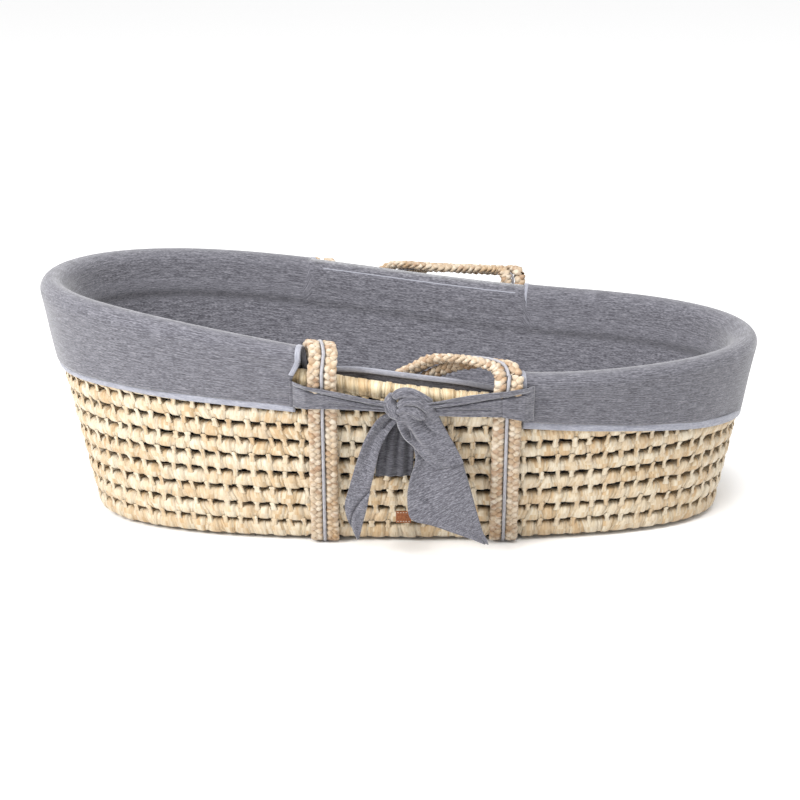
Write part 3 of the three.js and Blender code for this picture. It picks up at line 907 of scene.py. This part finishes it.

# %% [markdown]
# ## Handles
# The handles are the straps' own braids, so they start where the strap's braid ends, on the bend.
# The bend is soft husk: its first part stays with the basket and its last part turns with the
# loop.  These pieces are put in neither body.

# %% Handles
for label, loop, turned, seed in (("front", FRONT, False, 220), ("rear", REAR, True, 230)):
    for piece in strap_pieces(f"{label}_handle", handle_line(loop, turned), seed,
                              f"{label}_handle", body=None):
        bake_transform(piece)
print("handles made")

# %% [markdown]
# ## The cover
# The cover is one bag of jersey: a liner inside, folded out over the rim into a skirt.  It is cut
# away around the straps, so there are two skirts, and the cut edge is bound.  Cloth over a coil
# follows it closely, so each part is one curved sheet with a little looseness, thickened at the end.

# %% Liner
NOTCH = {"front": (-0.122, 0.136), "rear": (-0.122, 0.164)}
HEM_BAND = 0.0085


def rim_angle(x, side):
    return side * math.acos(x / RIM["half_length"])


rim_length, rim_angle_at = walk(rim_centre, 0, 2 * math.pi)


def in_notch(angle):
    """1 where the skirts leave the rim bare, 0 under them, with a short slope between."""
    x, side = np.cos(angle) * RIM["half_length"], np.sin(angle)
    last = np.where(side < 0, NOTCH["front"][1], NOTCH["rear"][1])
    return smooth((x - NOTCH["front"][0] + 0.006) / 0.006) * smooth((last + 0.006 - x) / 0.006)


def edge_height(angle):
    """Top of the liner at the notches: at the front it dips where the handle folds over it."""
    along = np.cos(angle)
    x = along * RIM["half_length"]
    dip = hill(x, -0.088, 0.030) + hill(x, 0.117, 0.034)
    front = rim_top(along) - 0.0185 - 0.0055 * np.clip(dip, 0, 1)
    return np.where(np.sin(angle) < 0, front, rim_top(along) + 0.0005)


def liner_place(u, v):
    angle = rim_angle_at(u * rim_length)
    bend, bare = rim_centre(np.cos(angle)), in_notch(angle)
    top = lerp(bend + 0.011, edge_height(angle) - 0.0015, bare)
    height = np.where(v < 0.7, lerp(0.0165, bend - 0.022, v / 0.7),
                      lerp(bend - 0.022, top, (v - 0.7) / 0.3))
    inset = 0.0216 + 0.0050 * smooth((height - bend + 0.019) / 0.013)
    loose = wavy(u * rim_length, height, 5, 30.0) + 0.5 * wavy(u * rim_length, height, 6, 80.0)
    inset = inset + 0.0008 + 0.0011 * loose * smooth((bend - height) / 0.03)
    over = smooth((height - bend - 0.002) / 0.01)
    inset = inset + over * lerp(-0.0030, 0.0020, bare)
    inset = inset - 0.0120 * bare * smooth((height - rim_top(np.cos(angle)) + 0.010) / 0.011)
    return wall_point(angle, height, inset)


liner = cloth_piece("liner_cloth", (360, 40), liner_place, (rim_length, 0.21),
                    lambda p: -from_middle(p), LINER_THICKNESS, jersey, "liner_wall", joined=True)

# %% Liner floor
def floor_place(u, v):
    """A square grid pressed into the oval by pulling its corners in."""
    across, along = 2 * v - 1, 2 * u - 1
    reach = np.maximum(np.abs(across), np.abs(along))
    turn = np.arctan2(across, along)
    spot = wall_point(turn, 0.016 + 0 * turn, 0.0208)
    middle = np.array([BASE["centre_x"], 0.0, 0.0])
    points = middle + (spot - middle) * reach[:, None]
    points[:, 2] = 0.0156 + 0.0003 * wavy(points[:, 0], points[:, 1], 7, 60.0)
    return points


floor_cloth = cloth_piece("liner_floor_cloth", (60, 36), floor_place, (0.7, 0.3),
                          lambda p: Vector((0, 0, 1)), LINER_THICKNESS, jersey, "liner_floor")
print("liner faces", len(liner.data.polygons))

# %% [markdown]
# ## Skirts and their hems
# A skirt hugs the rim coil and hangs straight to a hem that dips towards the foot.  At the notches
# its edge curves up to the rim like the end of an eye, because the tie pulls the lower half
# forwards.  A woven tape closes the hem, and the same tape runs round the notch.

# %% Skirt surface
OVER_RIM = 0.0147


def skirt_line(angle, v):
    """Inset, height and slackness down a skirt: up inside the rim, over it and down to the hem."""
    along = np.cos(angle)
    centre = fold_centre(along)
    bottom = hem_height(along) + HEM_BAND - 0.001
    inside, arc = BUMPER, math.pi * OVER_RIM
    travelled = v * (inside + arc + centre - bottom)
    turn = np.clip((travelled - inside) / OVER_RIM, 0, math.pi)
    inset = RIM_RADIUS + OVER_RIM * np.cos(turn)
    height = centre + OVER_RIM * np.sin(turn)
    height = height - np.clip(inside - travelled, 0, None)
    height = height - np.clip(travelled - inside - arc, 0, None)
    return inset, height, smooth((travelled - inside - 0.5 * arc) / 0.03)


def notch_reach(angle, inset, height):
    """How far a skirt's end reaches into the notch: not at all at the tie, fully over the rim."""
    crest = rim_top(np.cos(angle))
    climbed = smooth((height - crest + 0.046) / 0.034)
    return np.where(inset > RIM_RADIUS, 1.0, climbed)


def skirt_place(start, end, reach, seed):
    """The skirt's grid; near each end its columns lean towards the notch as they climb."""
    before = walk(rim_centre, start - 0.2, start)[0]
    length = walk(rim_centre, start, end)[0]
    angle_at = walk(rim_centre, start - 0.2, end + 0.2)[1]

    def place(u, v):
        plain = angle_at(before + u * length)
        inset, height, hanging = skirt_line(plain, v)
        extra = reach * notch_reach(plain, inset, height)
        lean = extra * (np.clip(1 - (1 - u) * 9, 0, 1) ** 2 - np.clip(1 - u * 9, 0, 1) ** 2)
        angle = angle_at(before + u * length + lean)
        inset, height, hanging = skirt_line(angle, v)
        loose = wavy(u * length, height, seed, 26.0) + 0.6 * wavy(u * length, height, seed + 1, 70.0)
        away = np.minimum(u, 1 - u) * length
        near_end = np.clip(1 - away / 0.13, 0, 1) ** 1.5
        slope = (height - 0.188) / (away + 0.035)
        pulled = near_end * (np.abs(np.sin(slope * 5.5 + 0.4)) ** 0.5 - 0.7)
        sag = 0.0014 * wavy(u * length, 0.4 * height, seed + 2, 11.0)
        inset = inset - hanging * (0.0018 + 0.0012 * loose + sag + 0.0034 * pulled)
        return wall_point(angle, height, inset)
    return place, length


HEAD_ENDS = (rim_angle(NOTCH["rear"][0], 1), 2 * math.pi + rim_angle(NOTCH["front"][0], -1))
FOOT_ENDS = (rim_angle(NOTCH["front"][1], -1), rim_angle(NOTCH["rear"][1], 1))
SKIRTS = {"head": (HEAD_ENDS, 0.014, 31), "foot": (FOOT_ENDS, 0.004, 41)}

for end_name, ((start, end), reach, seed) in SKIRTS.items():
    place, length = skirt_place(start, end, reach, seed)
    skirt = cloth_piece(f"skirt_{end_name}_cloth", (260, 56), place, (length, 0.16), from_middle,
                        SKIRT_THICKNESS, jersey, f"skirt_{end_name}", corner=(0.0, 0.3))
    print("skirt", end_name, "length", round(length, 3))

# %% Bound edges
def add_band(name, centre_of, columns, wide, thick, length, *nodes):
    """A flat tape: centre_of gives its middle, its across direction and its outward direction."""
    mesh = bmesh.new()

    def place(u, v):
        middle, across, out = centre_of(u)
        side, up = coil_section(2 * np.pi * v, 3.0)
        points = middle + across * (side * wide / 2)[:, None] + out * (up * thick / 2)[:, None]
        end = (u <= 0) | (u >= 1)
        points[end] = middle[end] + across[end] * (side[end] * wide / 2)[:, None]
        return points

    add_strip(mesh, columns, 12, place, (length, 0.02))
    finish_piece(to_object(mesh, name), tape, "edge_tape", *nodes)


def hem_middle(start, end):
    length, angle_at = walk(rim_centre, start, end)

    def centre_of(u):
        angle = angle_at(u * length)
        height = hem_height(np.cos(angle)) + HEM_BAND / 2
        height = height + 0.0005 * wavy(u * length, 0 * u, 12, 60.0)
        middle = wall_point(angle, height, -0.0030)
        out = unit(middle - wall_point(angle, height, -0.0020))
        return middle, np.array([[0.0, 0.0, 1.0]]) + 0 * out, out
    return centre_of, length


END_TAPE_WIDTH = 0.0062
END_TAPE_INWARD = 0.0028


def skirt_end(place, length, last):
    """The tape down a skirt's end, from inside the rim to the tie, wrapped over the cut edge."""
    edge = 1.0 if last else 0.0
    inward = (1 - 2 * edge) * END_TAPE_INWARD / length

    def centre_of(u):
        v = lerp(0.04, 0.70, u)
        middle = place(edge + inward + 0 * v, v)
        across = unit(place(edge + 2 * inward + 0 * v, v) - middle)
        ahead = unit(place(edge + inward + 0 * v, v + 0.01) - middle)
        return middle, across, unit(np.cross(across, ahead))
    return centre_of


for end_name, ((start, end), reach, seed) in SKIRTS.items():
    centre_of, length = hem_middle(start, end)
    add_band(f"hem_tape_{end_name}", centre_of, 240, HEM_BAND + 0.0005, 0.0024, length,
             f"hem_binding_{end_name}")
    place, length = skirt_place(start, end, reach, seed)
    for last in (False, True):
        add_band(f"skirt_{end_name}_end_tape_{1 + last}", skirt_end(place, length, last), 60,
                 wide=END_TAPE_WIDTH, thick=0.0030, length=0.09)

for label, side in (("front", -1), ("rear", 1)):
    ends = sorted((rim_angle(NOTCH[label][0] + 0.018, side),
                   rim_angle(NOTCH[label][1] - 0.012, side)))

    def notch_middle(u):
        angle = lerp(ends[0], ends[1], u)
        height = edge_height(angle) - (0.0035 if side < 0 else 0.0105)
        middle = wall_point(angle, height, 0.0276)
        out = unit(wall_point(angle, height, 0.0266) - middle)
        return middle, np.array([[0.0, 0.0, 1.0]]) + 0 * out, out

    add_band(f"notch_tape_{label}", notch_middle, 90, 0.0064 if side < 0 else 0.0030, 0.0026, 0.26,
             f"notch_binding_{label}")
print("bound edges made")

# %% [markdown]
# ## Ties and bows
# At each notch two ties are sewn to the skirt, pulled together over the straps and knotted in a
# bow.  A tie is a wide band at its seam that gathers into pleats at the knot.  The bow's loops and
# tails are single sheets cut on a slant, hanging one behind the other, so each is a strip between a
# left edge and a right edge with soft folds that fade downwards.

# %% Ties
KNOT = {"x": 0.012, "z": 0.184, "half_height": 0.020}


def tie_place(side, strap_x, stations, seam_at, seed):
    """Stations run from the skirt to the knot: place along, top edge and bottom edge, in mm."""
    given = np.array(stations, float) * MM
    outward = math.copysign(1.0, given[0, 0] - given[-1, 0])
    edge = outward * (STRAP_WIDTH / 2 + 0.003)
    stops = np.array([strap_x + outward * 0.033, strap_x + edge, strap_x - edge,
                      strap_x - outward * 0.050])
    offs = np.array([0.0060, 0.0156, 0.0156, 0.0165])
    order = np.argsort(stops)

    def place(u, v):
        x, top, bottom = between(u, np.linspace(0, 1, len(given)), given).T
        z = lerp(bottom, top, v)
        off = np.interp(x, stops[order], offs[order])
        gather = 0.15 + 0.85 * smooth((u - 0.05) / 0.85)
        pleat = np.sin(2 * np.pi * (2.2 * v + 0.55 * u) + seed)
        pleat = pleat + 0.5 * np.sin(2 * np.pi * (4.6 * v - 0.8 * u) + 2 * seed)
        fold_line = hill(v + 0.42 * u, 0.86, 0.050) * smooth(u / 0.15)
        second = hill(v + 0.12 * u, 0.36, 0.045) * smooth((u - 0.25) / 0.3)
        roll = hill(v, 0.95, 0.07) + 0.7 * hill(v, 0.05, 0.07)
        seam = hill(x, seam_at, 0.0012)
        depth = wall_depth(x, z) + off + 0.0014 * gather * pleat + 0.0014 * roll
        depth = depth - 0.0046 * fold_line - 0.0032 * second - 0.0016 * seam
        return np.stack([x, side * depth, z], axis=-1)
    return place


LEFT_TIE = [(-121, 207, 175), (-98, 203, 176.5), (-76, 199, 177.5), (-54, 194.5, 177),
            (-32, 190, 175.5), (-6, 186, 174)]
RIGHT_TIE = [(146, 203, 160), (131, 202, 163), (112, 199, 167.5), (94, 197.5, 168.5),
             (77, 195.5, 169), (58, 192, 170), (40, 188.5, 171), (24, 186, 172)]


def add_ties(label, side, left_leg, right_leg):
    shift = NOTCH[label][1] - NOTCH["front"][1]
    moved = [(x + shift * (x - 24) / 122 / MM, top, low) for x, top, low in RIGHT_TIE]
    for name, leg, stations, seam_at, seed in (("left", left_leg, LEFT_TIE, -0.117, 1.0),
                                               ("right", right_leg, moved, 0.111, 2.3)):
        piece = cloth_piece(f"tie_{label}_{name}_cloth", (120, 60),
                            tie_place(side, leg, stations, seam_at, seed), (0.13, 0.04),
                            lambda p: Vector((0, side, 0)), TIE_THICKNESS, jersey,
                            f"tie_{label}_{name}")

# %% Bow panels
PANEL_COLUMNS, PANEL_ROWS = 26, 54


def add_panel(label, part, side, off, left, right, folds, flat, material=jersey):
    """A hanging sheet between a left and a right edge, given as x and z in millimetres.

    flat is the size of the cloth's UV map."""
    rows = PANEL_ROWS
    left_line = smooth_path(left, rows + 1) * MM
    right_line = smooth_path(right, rows + 1) * MM
    depth = float(wall_depth(KNOT["x"], KNOT["z"] - KNOT["half_height"]))

    def place(u, v):
        level = np.round((1 - v) * rows).astype(int)
        spot = lerp(left_line[level], right_line[level], u[:, None])
        down = 1 - v
        out = depth + off + folds(u, down)
        return np.stack([spot[:, 0], side * out, spot[:, 1]], axis=-1)

    piece = cloth_piece(f"bow_{label}_{part}_cloth", (PANEL_COLUMNS, rows), place, flat,
                        lambda p: Vector((0, side, 0)), PANEL_THICKNESS, material,
                        f"bow_{label}_{part}")


def pleats(count, size, fade, phase=0.0):
    """Folds that are deep at the knot and fade down the sheet."""
    def folds(u, down):
        wave = np.sin(2 * np.pi * count * u + phase) * np.exp(-down * fade)
        sway = 0.35 * np.sin(2.2 * np.pi * (u * 0.7 + down * 0.9) + phase)
        return size * (wave + sway)
    return folds


def flap_folds(u, down):
    """The front loop: folded hard at the knot, then a wide smooth belly over the tails."""
    hard = 0.0040 * np.sin(2 * np.pi * (1.5 * u - 0.60 * down) + 0.4) * np.exp(-down * 2.0)
    belly = 0.0050 * np.sin(np.pi * np.clip(u, 0, 1)) * np.sin(np.pi * np.clip(down * 0.9, 0, 1))
    ear = hill(down, 0.46, 0.15)
    rolled = 0.0050 * hill(u, 0.03, 0.07) * ear
    hollow = -0.0075 * hill(u, 0.20, 0.08) * ear
    crease = -0.0045 * hill(u - 0.5 * down, 0.42, 0.045) * smooth(down / 0.1)
    crease = crease * (1 - smooth((down - 0.45) / 0.2))
    over_knot = 0.0110 * (1 - smooth(down / 0.42))
    tuck = -0.0070 * (1 - smooth(down / 0.12))
    return hard + belly + rolled + hollow + crease + over_knot + tuck


def left_tail_folds(u, down):
    """The narrow tail: a pleat under the knot, and a corner that turns forward at its tip."""
    soft = 0.0024 * np.sin(2.6 * np.pi * u + 0.5) * np.exp(-1.6 * down)
    sway = 0.0012 * np.sin(2.2 * np.pi * (0.7 * u + 0.9 * down) + 0.5)
    corner = smooth((down + 0.30 * u - 0.93) / 0.05)
    crease = -0.0028 * hill(down + 0.30 * u, 0.93, 0.025)
    return soft + sway + crease + 0.0028 * corner


def add_roll(mesh, side, line, corner):
    """A rolled fold of cloth: line gives x, height, distance out and radius, in millimetres."""
    path = smooth_path(line, 25) * MM
    ahead = unit(np.gradient(path[:, :2], axis=0))

    def place(u, v):
        at = np.round(u * 24).astype(int)
        turn = 2 * np.pi * v
        thin = np.where((at == 0) | (at == 24), 0.0, 1.0)
        radius = path[at, 3] * thin * (1 + 0.05 * np.sin(3 * turn + 9 * u))
        x = path[at, 0] - ahead[at, 1] * radius * np.cos(turn)
        z = path[at, 1] + ahead[at, 0] * radius * np.cos(turn)
        out = path[at, 2] + 0.75 * radius * np.sin(turn)
        return np.stack([x, side * (knot_wall + out), z], axis=-1)

    add_strip(mesh, 24, 16, place, (0.05, 0.03), corner)


knot_wall = float(wall_depth(KNOT["x"], KNOT["z"]))
KNOT_ROLLS = [
    [(-7, 196, 11, 4), (-10.5, 186, 13, 7.5), (-7, 176, 12.5, 8.0), (1, 167, 10, 5)],
    [(-8, 192, 17, 4), (0, 198, 19.5, 5.5), (12, 198, 20, 6), (24, 192, 18.5, 5.5), (34, 184, 14, 4)],
    [(-3, 182, 17, 3.5), (7, 189, 20, 5.0), (19, 188, 20, 5.0), (33, 176, 15, 4.0)],
    [(-4, 174, 16, 3.0), (5, 180, 19, 4.5), (16, 177, 18, 6.0), (27, 168, 14, 5.0)],
    [(4, 168, 10, 6), (16, 172, 9, 9), (28, 176, 9, 9), (34, 178, 8, 5)],
    [(-2, 186, 8, 6), (10, 186, 9, 10), (24, 184, 9, 10), (36, 182, 7, 5)],
]


def add_bow(label, side):
    mesh = bmesh.new()
    for number, line in enumerate(KNOT_ROLLS):
        add_roll(mesh, side, line, (0.07 * number, 0.0))
    knot = to_object(mesh, f"bow_{label}_knot_cloth")
    finish_piece(knot, jersey, "grey_jersey", f"bow_{label}_knot")

    # The back loop takes the darker jersey, painted shade for a loop that hangs in shadow behind the
    # tails.
    add_panel(label, "back_loop", side, 0.0035,
              [(-4, 170), (-20, 152), (-25, 124), (-27, 97)],
              [(18, 170), (16, 152), (15, 124), (14, 97)],
              pleats(3.2, 0.0030, 0.4), (0.045, 0.08), painted_shade_jersey)
    add_panel(label, "left_tail", side, 0.0083,
              [(-2, 173), (-21, 167), (-36, 146), (-46, 120), (-56, 85), (-61, 64), (-58, 48),
               (-47, 26)],
              [(6, 168), (-8, 155), (-21, 132), (-28, 104), (-32, 87), (-36, 65), (-41, 45),
               (-45, 27)],
              left_tail_folds, (0.045, 0.155))
    add_panel(label, "right_tail", side, 0.0122,
              [(8, 172), (12, 145), (17, 120), (10, 92), (8, 70), (12, 50), (37, 42), (78, 27),
               (94, 21)],
              [(38, 170), (52, 146), (66, 122), (72, 104), (78, 83), (85, 57), (92, 34), (96, 26),
               (98, 20)],
              pleats(1.2, 0.0030, 1.0, 2.0), (0.085, 0.165))
    add_panel(label, "front_loop", side, 0.0150,
              [(8, 188), (3, 180), (-3, 170), (-3, 160), (5, 144), (14, 135), (25, 121), (41, 108)],
              [(28, 190), (34, 184), (40, 174), (49, 156), (60, 136), (66, 124), (70, 115)],
              flap_folds, (0.06, 0.095))


for label, side in (("front", -1), ("rear", 1)):
    add_ties(label, side, *LEGS[label])
    add_bow(label, side)
print("bows made")

# %% [markdown]
# ## Mattress
# A foam pad in a cotton sheet lies on the liner's floor.  Foam swells the sheet between its seams,
# so the pad is blown up a little by a cloth simulation with inside pressure, from a slightly
# smaller start, and the movement is capped so that it stays in its place.

# %% Mattress pad
pad_low, pad_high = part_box("mattress_sheet")
core_low, core_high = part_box("mattress_core")


def oval_block(name, low, high, shrink, rounding):
    """An oval block from a disc: extruded up and bevelled along both edges."""
    mesh = bmesh.new()
    disc = bmesh.ops.create_circle(mesh, cap_ends=True, segments=96, radius=1.0)
    half_x = (high.x - low.x) / 2 - shrink
    half_y = (high.y - low.y) / 2 - shrink
    for vertex in disc["verts"]:
        along = max(-1.0, min(1.0, vertex.co.x))
        side = -1.0 if vertex.co.y < 0 else 1.0
        vertex.co = ((low.x + high.x) / 2 + half_x * along,
                     side * half_y * max(0.0, 1 - abs(along) ** 2.4) ** (1 / 2.4), low.z + 0.0008)
    raised = bmesh.ops.extrude_face_region(mesh, geom=mesh.faces[:])
    tops = [item for item in raised["geom"] if isinstance(item, bmesh.types.BMVert)]
    bmesh.ops.translate(mesh, verts=tops, vec=(0, 0, high.z - low.z - 2 * shrink))
    bmesh.ops.recalc_face_normals(mesh, faces=mesh.faces)
    rims = [edge for edge in mesh.edges if len(edge.link_faces) == 2
            and edge.calc_face_angle(0) > 0.8]
    bmesh.ops.bevel(mesh, geom=rims, offset=rounding, affect="EDGES", segments=4, profile=0.5,
                    material=-1)
    return to_object(mesh, name)


def swell(piece, voxel, pressure, cap):
    """Blows a closed piece up like a filled cushion and applies the result."""
    remesh = piece.modifiers.new("even mesh", "REMESH")
    remesh.mode = "VOXEL"
    remesh.voxel_size = voxel
    bpy.context.view_layer.update()
    graph = bpy.context.evaluated_depsgraph_get()
    piece.data = bpy.data.meshes.new_from_object(piece.evaluated_get(graph))
    piece.modifiers.clear()
    rest = np.array([vertex.co for vertex in piece.data.vertices])
    cloth = piece.modifiers.new("cloth", "CLOTH")
    cloth.settings.use_pressure = True
    cloth.settings.uniform_pressure_force = pressure
    cloth.settings.effector_weights.gravity = 0
    cloth.settings.tension_stiffness = 20
    cloth.settings.bending_stiffness = 2
    scene = bpy.context.scene
    for number in range(1, 21):
        scene.frame_set(number)
    graph = bpy.context.evaluated_depsgraph_get()
    blown = bpy.data.meshes.new_from_object(piece.evaluated_get(graph))
    moved = np.array([vertex.co for vertex in blown.vertices]) - rest
    size = np.linalg.norm(moved, axis=1, keepdims=True)
    moved = moved * np.minimum(1.0, cap / np.maximum(size, 1e-9))
    piece.modifiers.clear()
    piece.data.vertices.foreach_set("co", (rest + moved).ravel())
    scene.frame_set(1)
    return piece


def even_map(piece):
    """A UV map in metres, straight down, for the weave of a piece that has no map of its own."""
    layer = piece.data.uv_layers.new(name="UVMap")
    for loop in piece.data.loops:
        point = piece.data.vertices[loop.vertex_index].co
        layer.data[loop.index].uv = (point.x + 0.3 * point.z, point.y + point.z)


pad = oval_block("mattress_pad", pad_low, pad_high, shrink=0.004, rounding=0.008)
swell(pad, voxel=0.006, pressure=4.0, cap=0.0035)
even_map(pad)
for polygon in pad.data.polygons:
    polygon.use_smooth = True
rounder = pad.modifiers.new("rounder", "SUBSURF")
rounder.levels = rounder.render_levels = 1
finish_piece(pad, cotton, "mattress_cotton", "mattress_sheet", body="mattress")

core = oval_block("mattress_foam_core", core_low, core_high, shrink=0.0075, rounding=0.006)
finish_piece(core, foam, "mattress_foam", "mattress_core", body="mattress")
print("mattress pad faces", len(pad.data.polygons))

# %% [markdown]
# ## Leather tab
# A small plain tab is sewn on near the bottom of the front.  It is a thin block with worn, rounded
# edges, held by a row of short stitches at its top and bottom.

# %% Tab and stitches
tab_low, tab_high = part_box("label_tab")
mesh = bmesh.new()
bmesh.ops.create_cube(mesh, size=1.0)
bmesh.ops.scale(mesh, verts=mesh.verts, vec=tab_high - tab_low)
bmesh.ops.bevel(mesh, geom=mesh.edges[:], offset=0.0004, affect="EDGES", segments=2, profile=0.5,
                material=-1)
bmesh.ops.translate(mesh, verts=mesh.verts, vec=(tab_low + tab_high) / 2 + Vector((0, -0.0013, 0)))
tab = to_object(mesh, "leather_tab")
finish_piece(tab, leather, "tab_leather", "label_tab")

mesh = bmesh.new()
for height in (tab_low.z + 0.0018, tab_high.z - 0.0018):
    for number in range(5):
        made = bmesh.ops.create_uvsphere(mesh, u_segments=8, v_segments=5, radius=0.0005)["verts"]
        bmesh.ops.scale(mesh, verts=made, vec=(2.0, 0.7, 0.8))
        x = lerp(tab_low.x, tab_high.x, (number + 0.7) / 5.4)
        bmesh.ops.translate(mesh, verts=made, vec=(x, tab_low.y - 0.0013, height))
stitches = to_object(mesh, "tab_stitches")
finish_piece(stitches, thread, "edge_tape")

# %% [markdown]
# ## Camera and light
# The basket is seen from the front, from a little above, through a long lens that keeps the far
# rim nearly as big as the near one.  The light is a studio's: a soft lamp from the front left, which
# gives the wraps their shading, another one overhead, and a white room that fills the shadows.

# %% Floor and camera
scene = bpy.context.scene
mesh = bmesh.new()
bmesh.ops.create_grid(mesh, x_segments=2, y_segments=2, size=6.0)
bmesh.ops.translate(mesh, verts=mesh.verts, vec=(0, 0, -0.0006))
studio_floor = to_object(mesh, "studio_floor", closed=False, facing=lambda p: Vector((0, 0, 1)))
paper, _, paper_surface = new_material("paper_floor", 0.9, 0.1)
paper_surface.inputs["Base Color"].default_value = (0.92, 0.92, 0.92, 1.0)
studio_floor.data.materials.append(paper)

CAMERA_RISE = math.radians(15.8)
CAMERA_AWAY = 2.8
aim = Vector((0.0, 0.0, 0.121))
camera_data = bpy.data.cameras.new("camera")
camera_data.lens = 105.8
camera_data.sensor_width = 36.0
camera = bpy.data.objects.new("camera", camera_data)
back = Vector((0.0, -math.cos(CAMERA_RISE), math.sin(CAMERA_RISE)))
camera.location = aim + back * CAMERA_AWAY
camera.rotation_euler = (-back).to_track_quat("-Z", "Y").to_euler()
scene.collection.objects.link(camera)
scene.camera = camera

# %% Lights
def soft_lamp(name, place, power, size):
    data = bpy.data.lights.new(name, "AREA")
    data.energy = power
    data.size = size
    lamp = bpy.data.objects.new(name, data)
    lamp.location = place
    lamp.rotation_euler = (Vector((0, 0, 0.1)) - Vector(place)).to_track_quat("-Z", "Y").to_euler()
    scene.collection.objects.link(lamp)


soft_lamp("key", (-1.85, -1.60, 1.60), power=78.0, size=1.1)
soft_lamp("top", (0.3, -0.9, 2.6), power=60.0, size=1.0)
world = bpy.data.worlds.new("pale room")
world.use_nodes = True
world.node_tree.nodes["Background"].inputs["Color"].default_value = (1.0, 1.0, 1.0, 1.0)
world.node_tree.nodes["Background"].inputs["Strength"].default_value = 1.0
scene.world = world
scene.view_settings.view_transform = "Standard"

# %% Last view layer update
bpy.context.view_layer.update()
